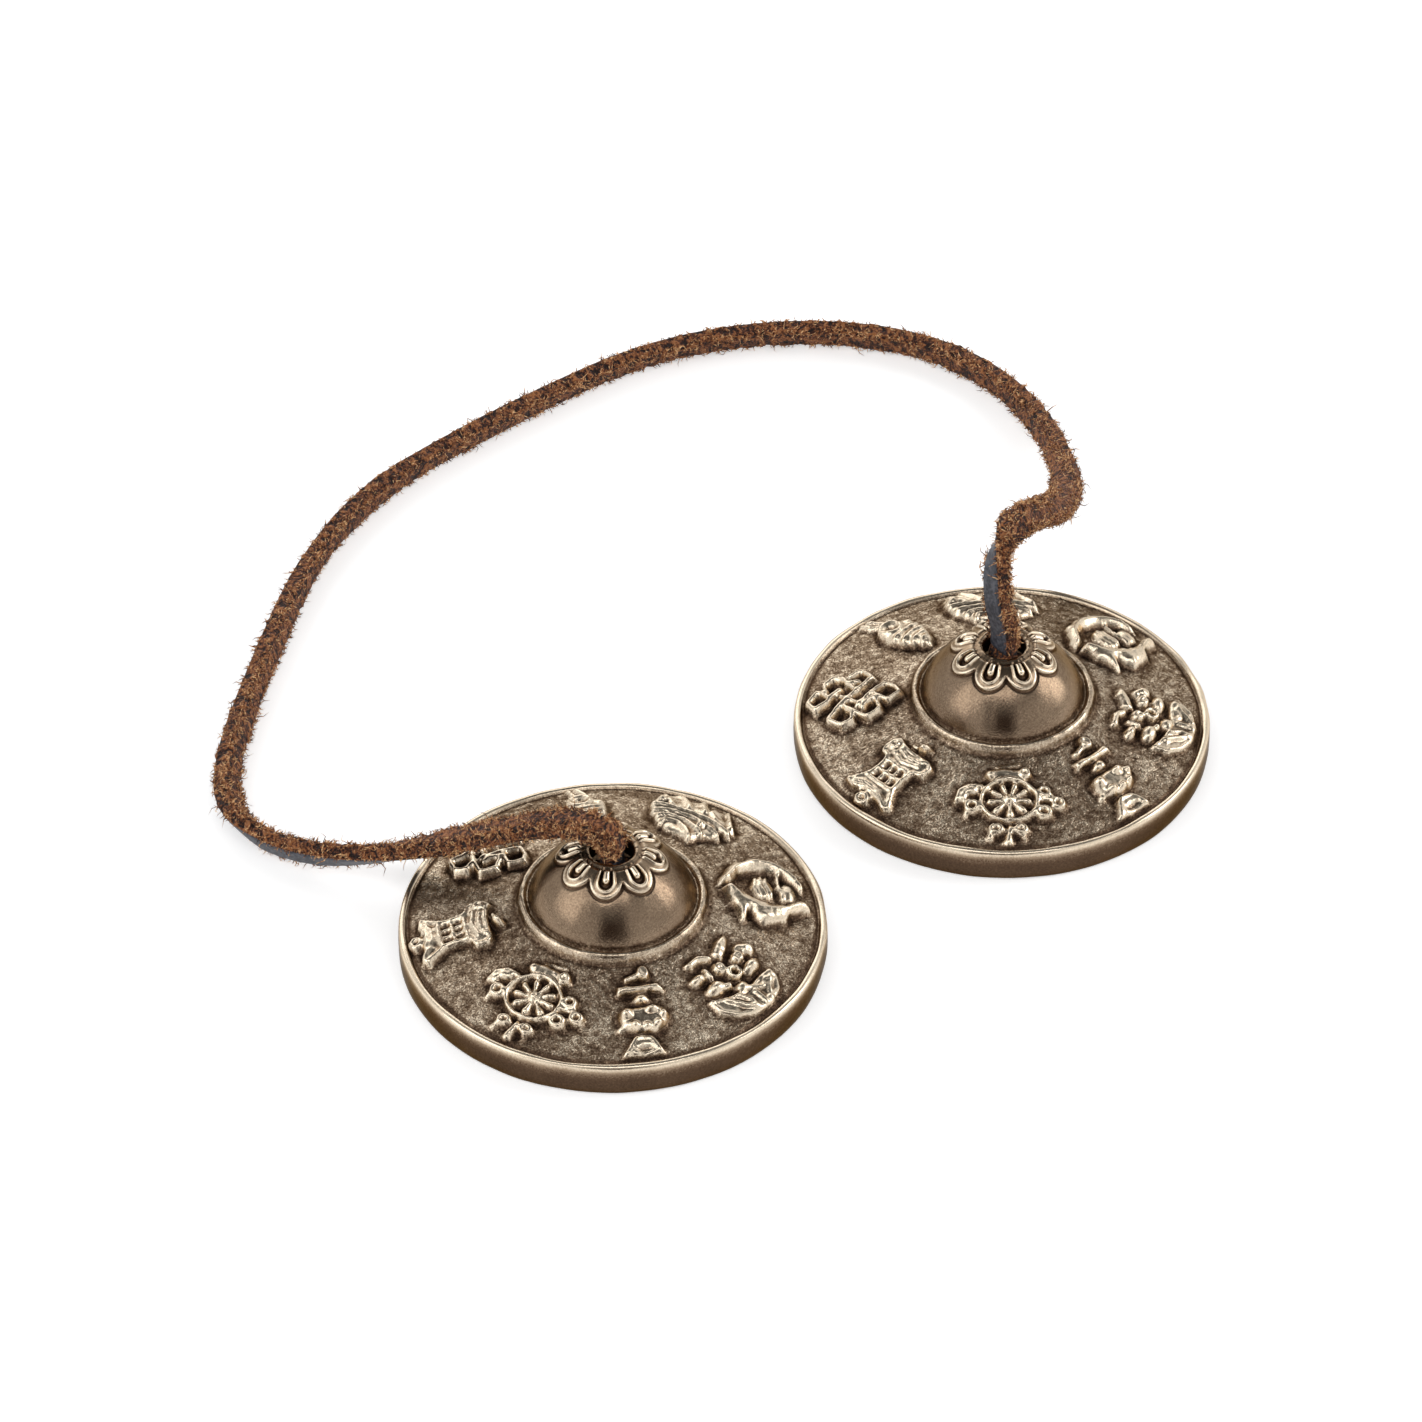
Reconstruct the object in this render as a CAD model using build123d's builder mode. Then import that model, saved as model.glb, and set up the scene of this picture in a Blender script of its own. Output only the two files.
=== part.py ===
from build123d import *
import os
from math import atan2, ceil, cos, degrees, radians, sin, sqrt, tan

# Tingsha: two cast bell-metal cymbals tied to the ends of one flat leather thong, in millimetres.
# They lie domes up. The origin is midway between them on the surface that they rest on,
# +X runs from the front cymbal to the rear one and +Z is up.

# Cymbal casting: rim, plate and field
RIM_DIAMETER = 65.0
RIM_HEIGHT = 5.5
RIM_BULGE = 0.3
RIM_EASE = 0.4
REST_RING_WIDTH = 1.8
LIP_WIDTH = 1.2
LIP_RISE = 0.4
FIELD_RISE = 4.6
PLATE_THICKNESS = 4.4

# Cymbal casting: collar, dome and hole
DOME_BASE_DIAMETER = 25.4
DOME_HEIGHT = 8.9
DOME_WALL = 3.0
CAVITY_LAND = 0.5
GROOVE_WIDTH = 0.25
GROOVE_DEPTH = 0.5
COLLAR_WIDTH = 1.45
COLLAR_RISE = 1.6
COLLAR_FLAT = 0.5
HOLE_DIAMETER = 6.5
MOUTH_LIP_WIDTH = 1.15
MOUTH_LIP_RISE = 0.4
MOUTH_EASE = 0.5

# Lotus petals round the hole
PETAL_COUNT = 8
PETAL_RISE = 0.5
PETAL_LENGTH = 4.3
PETAL_GAP = 0.35
PETAL_BORDER = 0.85
PETAL_TURN = 30.0

# Eight auspicious symbols raised round the field. Each is drawn in its own outlines, as distances
# across and towards the dome from its middle, and stands at its bearing round the casting.
SYMBOL_RISE = 1.2
SYMBOL_DEPTH = 0.9
WHEEL_DIAMETER = 9.4
WHEEL_BAND = 1.0
WHEEL_SPOKES = 9
SPOKE_WIDTH = 0.8
HUB_DIAMETER = 2.2
WHEEL_CAP = [(-4.4, 5.4), (-1.5, 5.9), (4.2, 5.4), (4.9, 3.9), (3.4, 3.2), (-3.4, 3.2)]
WHEEL_FLAME = [(-4.3, 2.2), (-6.8, 2.2), (-8.1, 0.4), (-7.6, -1.6), (-6.0, -3.6), (-4.4, -2.4)]
WHEEL_JEWELS = [(5.6, 0.8), (7.0, -1.6), (4.9, -2.7)]
WHEEL_TASSEL = [
    (-2.8, -5.2), (-1.2, -4.4), (1.4, -4.4), (2.2, -5.4), (1.6, -7.4), (-0.3, -6.4), (-2.6, -7.4),
]
JEWEL_DIAMETER = 2.4
VASE_LID = [(-2.5, 5.9), (1.2, 7.0), (3.0, 6.3), (2.4, 4.9), (-2.3, 4.7)]
VASE_BRIM = [
    (-3.9, 4.3), (3.9, 4.3), (4.4, 2.5), (1.4, 3.0), (1.4, 1.0), (-1.2, 1.0), (-1.2, 3.0), (-3.7, 2.6),
]
VASE_BODY = [
    (-3.7, -0.3), (-2.6, 0.6), (2.6, 0.6), (3.7, -0.6), (2.8, -3.5), (0.8, -4.4), (-1.2, -4.4), (-3.0, -3.4),
]
VASE_FOOT = [(-1.6, -4.7), (0.5, -4.7), (1.4, -8.0), (-3.0, -8.0)]
LOTUS_LEAVES = [
    (-5.9, 5.3), (-2.4, 5.8), (0.0, 3.9), (3.5, 5.5), (6.3, 5.0), (5.8, 3.6), (0.6, 2.2), (-5.0, 3.9),
]
LOTUS_BLOSSOMS = [
    (-5.0, 1.9), (-0.7, 1.6), (3.1, 1.0), (5.5, 0.7), (-3.8, -0.8), (0.3, -0.6), (3.2, -1.5), (-0.6, -2.9),
]
BLOSSOM_DIAMETER = 2.8
LOTUS_BOWL = [(-5.9, -2.4), (0.0, -4.0), (4.4, -3.9), (4.0, -5.6), (2.6, -7.0), (-1.8, -7.4), (-4.4, -6.0)]
LEFT_FISH = [
    (-0.4, 6.4), (-5.0, 5.2), (-8.8, 3.0), (-6.4, 2.0), (-8.0, 0.0), (-6.4, -3.6), (-3.8, -7.4), (-2.0, -6.8),
    (-3.5, -1.8), (-1.8, 3.4), (0.7, 4.4),
]
RIGHT_FISH = [
    (1.2, 6.8), (5.0, 4.6), (6.8, 2.6), (6.0, 1.4), (6.8, 0.0), (5.2, -4.0), (0.8, -7.2), (-0.4, -6.4),
    (2.8, -3.8), (4.0, 0.2), (1.4, 4.2),
]
FISH_POOL = (5.2, 4.0)
PARASOL_CANOPY = [(-3.8, 5.1), (2.0, 4.3), (4.4, 3.0), (6.4, -0.4), (6.6, -3.0), (-6.6, -3.0), (-5.6, 1.4)]
PARASOL_FRINGE = [(-4.4, -4.9), (-1.6, -5.4), (1.4, -5.6), (4.6, -5.0)]
FRINGE_DROP = (1.9, 3.4)
FRINGE_LEAN = 25.0
CONCH_SHELL = [
    (-0.4, 6.9), (1.6, 5.0), (3.0, 1.6), (2.6, -2.0), (0.4, -4.2), (-3.2, -2.6), (-3.8, 2.4), (-2.8, 5.4),
]
CONCH_RIBBON = [(-1.6, -3.6), (0.2, -4.2), (1.3, -6.0), (1.3, -8.0), (0.0, -8.0)]
KNOT_SYMBOL_BAND = 1.2
KNOT_SYMBOL_RUNS = [
    [(2.6, 0.3), (-2.6, 4.6), (0.8, 7.0), (2.6, 5.2), (-0.4, 2.6)],
    [(2.4, -1.1), (5.6, 1.7), (4.4, 3.8), (1.1, 3.4), (3.1, 1.1)],
    [(0.9, -1.2), (3.8, -4.6), (5.5, -2.6), (4.8, -0.9), (1.9, -1.6)],
    [(-2.2, -2.6), (1.3, -6.0), (-0.2, -7.6), (-1.8, -6.2), (-0.6, -4.4)],
    [(-1.0, 0.4), (-4.4, -3.2), (-3.2, -5.4), (-1.7, -4.7)],
    [(2.2, -3.2), (-4.6, 2.2), (-6.2, 0.0), (-4.4, -2.2), (-3.0, -1.4)],
    [(-0.4, -2.4), (2.2, 0.8)],
]
BANNER_DRUM = [
    (-4.7, 3.4), (-4.0, 4.3), (0.0, 3.6), (4.4, 3.4), (5.2, 2.4), (4.6, 1.0), (2.8, 0.4), (2.4, -3.2),
    (3.7, -7.0), (0.0, -5.6), (-3.6, -6.5), (-2.2, -3.2), (-2.4, 0.4), (-4.4, 0.9),
]
BANNER_SLOTS = [(0.1, -0.65), (0.1, -2.6)]
BANNER_SLOT = (3.4, 1.1)
BANNER_JEWEL = [(0.2, 4.2), (0.8, 5.9), (2.4, 6.3), (2.9, 5.2), (1.6, 4.2)]
BANNER_DROP = (0.0, -7.4)
SYMBOL_BEARINGS = {
    "wheel": -127.5,
    "vase": -85.7,
    "lotus": -46.2,
    "fish": 4.4,
    "parasol": 53.5,
    "conch": 94.0,
    "knot": 138.3,
    "banner": -176.1,
}

# How the two cymbals lie
CYMBAL_SPACING = 77.0
FRONT_TURN = -31.2
REAR_TURN = 0.0

# Leather thong, and its knots under the domes
LACE_WIDTH = 5.0
LACE_THICKNESS = 3.0
END_CLEARANCE = 0.3
KNOT_DIAMETER = 9.2
KNOT_BAND_WIDTH = 4.2
KNOT_BANDS = 3
KNOT_BAND_TILT = 62.0
KNOT_CLEARANCE = 0.3
TAIL_REACH = 6.8
TAIL_DROP = 2.4

# The front and rear ends of the thong stand with their width along these directions (degrees from +X)
FRONT_EXIT_WIDTH_ANGLE = 32.0
REAR_EXIT_WIDTH_ANGLE = 83.0

# Thong route from the front mouth to the rear one: x, y and z, then the way that the flesh side
# faces, as degrees round from +X and degrees up
THONG_ROUTE = [
    (-38.5, 0.0, 20.1, -58, 0),
    (-38.5, 0.0, 21.8, -58, 30),
    (-40.2, 2.6, 23.6, -58, 75),
    (-43.0, 7.2, 22.8, -58, 85),
    (-46.6, 14.6, 18.4, 32, 75),
    (-51.6, 23.8, 12.2, 32, 55),
    (-57.5, 33.0, 6.6, 30, 35),
    (-63.6, 42.0, 3.2, 25, 15),
    (-67.6, 51.0, 2.6, 10, 0),
    (-67.0, 60.5, 2.6, -21, 0),
    (-60.5, 69.5, 2.6, -43, 0),
    (-49.5, 79.2, 2.6, -50, 0),
    (-36.0, 90.2, 2.6, -50, 0),
    (-21.0, 101.5, 2.8, -58, -5),
    (-4.0, 109.0, 2.9, -75, -10),
    (15.0, 111.2, 2.9, -88, -15),
    (34.0, 111.6, 2.9, -90, -15),
    (52.0, 111.0, 2.9, -99, -15),
    (68.5, 105.8, 2.9, -115, -15),
    (83.0, 96.0, 2.9, -133, -10),
    (93.0, 82.8, 2.8, -155, 0),
    (96.0, 68.0, 3.0, 180, 15),
    (93.0, 53.0, 3.8, 158, 35),
    (84.0, 38.0, 8.5, 144, 65),
    (72.0, 24.0, 17.6, -37, 85),
    (60.0, 13.6, 27.6, -37, 55),
    (51.6, 8.6, 34.2, -45, 45),
    (45.0, 5.4, 37.8, -80, 55),
    (40.4, 3.6, 37.0, -96, 40),
    (38.2, 2.2, 32.6, -70, 10),
    (37.8, 0.8, 27.2, -30, 0),
    (38.5, 0.0, 23.4, -10, 0),
    (38.5, 0.0, 20.1, -7, 0),
]
ARC_SHARE = 0.45
END_ARC_SHARE = 0.9
SECTION_STEP = 15.0

# Radii and heights of the casting that follow from the sizes above
rim_r = RIM_DIAMETER / 2
shoulder_r = rim_r - RIM_BULGE
foot_r = shoulder_r - RIM_EASE
rest_inner_r = foot_r - REST_RING_WIDTH
lip_inner_r = rim_r - LIP_WIDTH
lip_crest_r = rim_r - LIP_WIDTH / 2
field_edge_z = RIM_HEIGHT - LIP_RISE
field_top_z = field_edge_z + FIELD_RISE
dome_base_r = DOME_BASE_DIAMETER / 2
collar_inner_r = dome_base_r + GROOVE_WIDTH
collar_outer_r = collar_inner_r + COLLAR_WIDTH
collar_crest_r = (collar_inner_r + collar_outer_r) / 2
collar_crest_z = field_top_z + COLLAR_RISE
groove_z = collar_crest_z - GROOVE_DEPTH
hole_r = HOLE_DIAMETER / 2
mouth_lip_r = hole_r + MOUTH_LIP_WIDTH

# The dome is part of a sphere through its base circle and the foot of the mouth's lip
crown_z = groove_z + DOME_HEIGHT
mouth_z = crown_z + MOUTH_LIP_RISE
base_above_centre = (dome_base_r**2 - mouth_lip_r**2 - DOME_HEIGHT**2) / (2 * DOME_HEIGHT)
dome_centre_z = groove_z - base_above_centre
dome_sphere_r = sqrt(dome_base_r**2 + base_above_centre**2)
cavity_sphere_r = dome_sphere_r - DOME_WALL
cavity_mouth_z = field_top_z - PLATE_THICKNESS
cavity_turn_z = max(dome_centre_z, cavity_mouth_z + CAVITY_LAND)


def height_on(sphere_r, radius):
    """Height at which a sphere round the dome's centre stands over a circle of this radius."""
    return dome_centre_z + sqrt(sphere_r**2 - radius**2)


cavity_r = sqrt(cavity_sphere_r**2 - (cavity_turn_z - dome_centre_z) ** 2)
ceiling_z = height_on(cavity_sphere_r, hole_r)
dome_mid_r = (mouth_lip_r + dome_base_r) / 2
cavity_mid_r = (hole_r + cavity_r) / 2

# One lotus petal, seen from above, pointing along +X
petal_root_r = mouth_lip_r
petal_tip_r = petal_root_r + PETAL_LENGTH
petal_half_angle = radians(180 / PETAL_COUNT)
petal_round = (petal_tip_r * sin(petal_half_angle) - PETAL_GAP / 2) / (1 + sin(petal_half_angle))
petal_round_r = petal_tip_r - petal_round
petal_root_half = petal_root_r * sin(petal_half_angle) - PETAL_GAP / 2

with BuildSketch() as petal:
    Polygon(
        (petal_root_r, -petal_root_half),
        (petal_round_r, -petal_round),
        (petal_round_r, petal_round),
        (petal_root_r, petal_root_half),
        align=None,
    )
    with Locations((petal_round_r, 0)):
        Circle(petal_round)
    offset(amount=-PETAL_BORDER, mode=Mode.SUBTRACT)

with BuildPart() as petals:
    with BuildSketch(Plane.XY.offset(mouth_z)):
        with PolarLocations(0, PETAL_COUNT, start_angle=PETAL_TURN):
            add(petal.sketch)
    extrude(amount=-DOME_HEIGHT)
    with Locations((0, 0, dome_centre_z)):
        Sphere(dome_sphere_r + PETAL_RISE, mode=Mode.INTERSECT)
        Sphere(dome_sphere_r - DOME_WALL / 2, mode=Mode.SUBTRACT)

# The symbols' middles stand on a circle half way across the field, each on a plane that touches it
symbol_circle_r = (collar_outer_r + lip_inner_r) / 2
symbol_plane = Plane(
    origin=(symbol_circle_r, 0, (field_top_z + field_edge_z) / 2),
    x_dir=(0, 1, 0),
    z_dir=(FIELD_RISE, 0, lip_inner_r - collar_outer_r),
)


def wheel():
    """Wheel with its spokes, the cap over it, flames and jewels beside it and tassels below."""
    Circle(WHEEL_DIAMETER / 2)
    Circle(WHEEL_DIAMETER / 2 - WHEEL_BAND, mode=Mode.SUBTRACT)
    Circle(HUB_DIAMETER / 2)
    with PolarLocations(0, WHEEL_SPOKES):
        Rectangle((WHEEL_DIAMETER - WHEEL_BAND) / 2, SPOKE_WIDTH, align=(Align.MIN, Align.CENTER))
    for outline in (WHEEL_CAP, WHEEL_FLAME, WHEEL_TASSEL):
        Polygon(*outline, align=None)
    with Locations(*WHEEL_JEWELS):
        RegularPolygon(JEWEL_DIAMETER / 2, 6)


def vase():
    """Treasure vase: its lid, its brim and neck, its round body and its flared foot."""
    for outline in (VASE_LID, VASE_BRIM, VASE_BODY, VASE_FOOT):
        Polygon(*outline, align=None)


def lotus():
    """Lotus blossoms under two leaves, in a bowl-shaped leaf."""
    for outline in (LOTUS_LEAVES, LOTUS_BOWL):
        Polygon(*outline, align=None)
    with Locations(*LOTUS_BLOSSOMS):
        RegularPolygon(BLOSSOM_DIAMETER / 2, 6)


def fish():
    """Two fish bent round a pool."""
    for outline in (LEFT_FISH, RIGHT_FISH):
        Polygon(*outline, align=None)
    Ellipse(FISH_POOL[0] / 2, FISH_POOL[1] / 2)


def parasol():
    """Parasol's canopy and the drops of its fringe."""
    Polygon(*PARASOL_CANOPY, align=None)
    with Locations(*PARASOL_FRINGE):
        Rectangle(*FRINGE_DROP, rotation=FRINGE_LEAN)


def conch():
    """Conch shell and its ribbon."""
    for outline in (CONCH_SHELL, CONCH_RIBBON):
        Polygon(*outline, align=None)


def endless_knot():
    """One band woven through itself."""
    for run in KNOT_SYMBOL_RUNS:
        for start, end in zip(run, run[1:]):
            middle = (Vector(*start) + Vector(*end)) / 2
            way = Vector(*end) - Vector(*start)
            lean = degrees(atan2(way.Y, way.X))
            with Locations(middle):
                Rectangle(way.length + KNOT_SYMBOL_BAND, KNOT_SYMBOL_BAND, rotation=lean)


def banner():
    """Victory banner: a pinched drum with two rows of slots, the jewel on it and the drop below."""
    Polygon(*BANNER_DRUM, align=None)
    with Locations(*BANNER_SLOTS):
        Rectangle(*BANNER_SLOT, mode=Mode.SUBTRACT)
    Polygon(*BANNER_JEWEL, align=None)
    with Locations(BANNER_DROP):
        RegularPolygon(JEWEL_DIAMETER / 2, 6)


SYMBOL_SHAPES = {
    "wheel": wheel,
    "vase": vase,
    "lotus": lotus,
    "fish": fish,
    "parasol": parasol,
    "conch": conch,
    "knot": endless_knot,
    "banner": banner,
}

with BuildPart() as symbols:
    for name, bearing in SYMBOL_BEARINGS.items():
        around = Location((0, 0, 0), (0, 0, bearing))
        with BuildSketch(Plane(around * symbol_plane.location).offset(-SYMBOL_DEPTH)):
            SYMBOL_SHAPES[name]()
        extrude(amount=SYMBOL_DEPTH + SYMBOL_RISE)

# One casting, with its axis on Z
with BuildPart() as casting:
    with BuildSketch(Plane.XZ) as section:
        with BuildLine():
            Polyline(
                (hole_r, ceiling_z),
                (hole_r, mouth_z - MOUTH_EASE),
                (hole_r + MOUTH_EASE, mouth_z),
                (mouth_lip_r - MOUTH_LIP_RISE, mouth_z),
                (mouth_lip_r, crown_z),
            )
            ThreePointArc(
                (mouth_lip_r, crown_z),
                (dome_mid_r, height_on(dome_sphere_r, dome_mid_r)),
                (dome_base_r, groove_z),
            )
            Line((dome_base_r, groove_z), (collar_inner_r, groove_z))
            Polyline(
                (collar_inner_r, groove_z),
                (collar_crest_r - COLLAR_FLAT / 2, collar_crest_z),
                (collar_crest_r + COLLAR_FLAT / 2, collar_crest_z),
                (collar_outer_r, field_top_z),
                (lip_inner_r, field_edge_z),
                (lip_crest_r, RIM_HEIGHT),
                (shoulder_r, field_edge_z),
                (rim_r, (field_edge_z + RIM_EASE) / 2),
                (shoulder_r, RIM_EASE),
                (foot_r, 0),
                (rest_inner_r, 0),
                (cavity_r, cavity_mouth_z),
                (cavity_r, cavity_turn_z),
                (cavity_mid_r, height_on(cavity_sphere_r, cavity_mid_r)),
                (hole_r, ceiling_z),
            )
        make_face()
    revolve(axis=Axis.Z)
    add(petals.part)
    add(symbols.part)

# One knot, with its axis on Z: the thong's end comes down through the hole, is wrapped over itself
# and leaves a short tail
knot_r = KNOT_DIAMETER / 2
knot_reach = sqrt(knot_r**2 + (KNOT_BAND_WIDTH / 2) ** 2)
knot_z = ceiling_z - sqrt(knot_reach**2 - hole_r**2) - KNOT_CLEARANCE
stub_top_z = mouth_z - LACE_THICKNESS / 2 - END_CLEARANCE

with BuildPart() as knot:
    with BuildSketch(Plane.XY.offset(knot_z)):
        Rectangle(LACE_WIDTH, LACE_THICKNESS)
    extrude(amount=stub_top_z - knot_z)
    for band in range(KNOT_BANDS):
        around = 360 / KNOT_BANDS * band
        with Locations(Location((0, 0, knot_z), (0, 0, around))):
            Cylinder(knot_r, KNOT_BAND_WIDTH, rotation=(0, KNOT_BAND_TILT, 0))
    with BuildSketch(Plane.YZ):
        with Locations((0, knot_z - TAIL_DROP)):
            Rectangle(LACE_WIDTH, LACE_THICKNESS)
    extrude(amount=TAIL_REACH)

# The thong's free length: a flat lace swept section by section along straight runs and tangent arcs
route_points = [Vector(x, y, z) for x, y, z, around, up in THONG_ROUTE]
flesh_ways = [
    Vector(cos(radians(around)) * cos(radians(up)), sin(radians(around)) * cos(radians(up)), sin(radians(up)))
    for x, y, z, around, up in THONG_ROUTE
]


def corner_radius(index):
    """Largest arc that the two runs at a corner of the route leave room for."""
    before = route_points[index] - route_points[index - 1]
    after = route_points[index + 1] - route_points[index]
    first_share = END_ARC_SHARE if index == 1 else ARC_SHARE
    last_share = END_ARC_SHARE if index == len(route_points) - 2 else ARC_SHARE
    room = min(first_share * before.length, last_share * after.length)
    return room / tan(radians(before.get_angle(after) / 2))


route_radii = [corner_radius(index) for index in range(1, len(route_points) - 1)]
print("thong radii", [round(radius, 1) for radius in route_radii])

with BuildLine() as route:
    FilletPolyline(*route_points, radius=route_radii)
route_line = route.wires()[0]
route_edges = route_line.edges()
route_length = route_line.length


def lace_plane(place, heading, flesh):
    """Plane across the lace: x along its width, y to its flesh side, z along the route."""
    across = (flesh - heading * flesh.dot(heading)).normalized()
    return Plane(origin=place, x_dir=across.cross(heading), z_dir=heading)


# Distances along the route where sections stand, and where each route point's arc is half done
stations = []
point_marks = [0.0]
travelled = 0.0
for edge in route_edges:
    steps = 1
    if edge.geom_type == GeomType.CIRCLE:
        steps = ceil(degrees(edge.length / edge.radius) / SECTION_STEP)
        point_marks.append(travelled + edge.length / 2)
    stations += [travelled + edge.length * step / steps for step in range(steps)]
    travelled += edge.length
stations.append(route_length)
point_marks.append(route_length)


def flesh_at(distance):
    """Way that the flesh side faces at a distance along the route."""
    index = max(i for i in range(len(point_marks) - 1) if point_marks[i] <= distance)
    share = (distance - point_marks[index]) / (point_marks[index + 1] - point_marks[index])
    return flesh_ways[index] * (1 - share) + flesh_ways[index + 1] * share


lace_planes = [
    lace_plane(route_line @ (s / route_length), route_line % (s / route_length), flesh_at(s))
    for s in stations
]

with BuildPart() as thong:
    for plane in lace_planes:
        with BuildSketch(plane):
            Rectangle(LACE_WIDTH, LACE_THICKNESS)
    loft(ruled=True)
    # Each end is rounded about its mouth's swing axis, so that a cymbal can swing clear of it
    for plane in (lace_planes[0], lace_planes[-1]):
        with BuildSketch(Plane(origin=plane.origin, x_dir=plane.y_dir, z_dir=plane.x_dir)):
            Circle(LACE_THICKNESS / 2)
            with Locations((0, -LACE_THICKNESS / 2) if plane is lace_planes[-1] else (0, LACE_THICKNESS / 2)):
                Rectangle(LACE_THICKNESS, LACE_THICKNESS, mode=Mode.SUBTRACT)
        extrude(amount=LACE_WIDTH / 2, both=True)

print("thong length", round(route_length, 1))
print("thong volume", round(thong.part.volume), "section times length", round(LACE_WIDTH * LACE_THICKNESS * route_length))
print("casting volume", round(casting.part.volume), "overall height", round(mouth_z, 2))

os.makedirs("parts", exist_ok=True)
thong.part.label = "thong"
export_step(thong.part, "parts/thong.step")

PLACES = (
    ("front", -CYMBAL_SPACING / 2, FRONT_TURN, FRONT_EXIT_WIDTH_ANGLE),
    ("rear", CYMBAL_SPACING / 2, REAR_TURN, REAR_EXIT_WIDTH_ANGLE),
)
for name, x, turn, width_angle in PLACES:
    with BuildPart() as cymbal:
        with Locations(Location((x, 0, 0), (0, 0, turn))):
            add(casting.part)
    cymbal.part.label = f"{name}_cymbal"
    export_step(cymbal.part, f"parts/{name}_cymbal.step")

    with BuildPart() as end_knot:
        with Locations(Location((x, 0, 0), (0, 0, width_angle))):
            add(knot.part)
    end_knot.part.label = f"{name}_knot"
    export_step(end_knot.part, f"parts/{name}_knot.step")
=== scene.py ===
"""Tingsha: two cast bell-metal cymbals with raised symbols, tied to the ends of one suede lace.

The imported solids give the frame. The castings, the lace and its knots are modelled again here, in the
same places and in metres, with their carving, cast skin, nap and loose fibres.
"""

from __future__ import annotations

import logging
import math
import random
from dataclasses import dataclass, replace
from enum import Enum
from typing import Protocol, Sequence

import bmesh
import bpy
import numpy as np
from mathutils import Matrix, Vector, noise

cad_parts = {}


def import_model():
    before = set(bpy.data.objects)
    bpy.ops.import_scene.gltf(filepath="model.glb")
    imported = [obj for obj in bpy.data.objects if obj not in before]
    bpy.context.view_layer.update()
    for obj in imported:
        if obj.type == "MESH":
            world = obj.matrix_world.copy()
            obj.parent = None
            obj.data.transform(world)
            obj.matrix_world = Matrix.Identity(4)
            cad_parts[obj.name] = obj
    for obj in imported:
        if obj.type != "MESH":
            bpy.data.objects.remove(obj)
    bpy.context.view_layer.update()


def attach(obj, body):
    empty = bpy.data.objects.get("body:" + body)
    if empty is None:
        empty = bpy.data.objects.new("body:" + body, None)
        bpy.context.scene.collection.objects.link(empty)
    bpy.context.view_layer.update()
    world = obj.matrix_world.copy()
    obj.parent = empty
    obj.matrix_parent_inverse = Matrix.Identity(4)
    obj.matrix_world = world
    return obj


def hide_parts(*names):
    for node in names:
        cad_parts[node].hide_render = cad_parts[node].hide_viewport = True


LOG = logging.getLogger("tingsha")
MM = 0.001
FULL_TURN = 2 * math.pi
PHOTO_SIDE = 1422

Point = tuple[float, float]
Colour = tuple[float, float, float, float]
Value = bpy.types.NodeSocket | float
MOTTLE_INPUTS = ("Coarse scale", "Fine scale", "Fine share")


def grey(level: float) -> Colour:
    """Opaque grey of a level."""
    return (level, level, level, 1.0)


def bead_share(gap: np.ndarray, half_width: np.ndarray | float) -> np.ndarray:
    """Height of a round-backed ridge, as a share of its crest, at a distance from its middle line."""
    return np.sqrt(np.clip(1 - (gap / half_width) ** 2, 0, 1))


class Stroke(Protocol):
    """One mark of the mould carver, in millimetres across and up a symbol's own middle."""

    def height_over(self, across: np.ndarray, up: np.ndarray) -> np.ndarray:
        """Height in millimetres that the mark gives at each point."""
        ...


@dataclass(frozen=True)
class Bead:
    """Ridge with a round back along a line of points, which may widen towards its end."""

    points: tuple[Point, ...]
    width: float
    height: float
    end_width: float = 0.0

    def height_over(self, across: np.ndarray, up: np.ndarray) -> np.ndarray:
        """Height of the ridge over each point.

        Args:
            across: Distances to the right of the symbol's middle.
            up: Distances towards the dome from the symbol's middle.

        Returns:
            Heights in millimetres, none below zero.
        """
        best = np.zeros_like(across)
        last = len(self.points) - 1
        widening = (self.end_width or self.width) - self.width
        for index, ((a, b), (c, d)) in enumerate(zip(self.points, self.points[1:])):
            run_a, run_b = c - a, d - b
            share = ((across - a) * run_a + (up - b) * run_b) / (run_a**2 + run_b**2)
            share = np.clip(share, 0, 1)
            gap = np.hypot(across - a - share * run_a, up - b - share * run_b)
            half = (self.width + widening * (index + share) / last) / 2
            best = np.maximum(best, self.height * bead_share(gap, half))
        return best


@dataclass(frozen=True)
class Boss:
    """Rounded lump with its two half widths."""

    place: Point
    size: Point
    height: float
    turn: float = 0.0

    def height_over(self, across: np.ndarray, up: np.ndarray) -> np.ndarray:
        """Height of the lump over each point.

        Args:
            across: Distances to the right of the symbol's middle.
            up: Distances towards the dome from the symbol's middle.

        Returns:
            Heights in millimetres.
        """
        turn = math.radians(self.turn)
        right, back = across - self.place[0], up - self.place[1]
        along = right * math.cos(turn) + back * math.sin(turn)
        aside = back * math.cos(turn) - right * math.sin(turn)
        return self.height * bead_share(np.hypot(along / self.size[0], aside / self.size[1]), 1.0)


@dataclass(frozen=True)
class Ring:
    """Round-backed ring with its two radii."""

    place: Point
    radii: Point
    width: float
    height: float

    def height_over(self, across: np.ndarray, up: np.ndarray) -> np.ndarray:
        """Height of the ring over each point.

        Args:
            across: Distances to the right of the symbol's middle.
            up: Distances towards the dome from the symbol's middle.

        Returns:
            Heights in millimetres.
        """
        share = np.hypot((across - self.place[0]) / self.radii[0], (up - self.place[1]) / self.radii[1])
        gap = np.abs(share - 1) * (self.radii[0] + self.radii[1]) / 2
        return self.height * bead_share(gap, self.width / 2)


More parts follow.
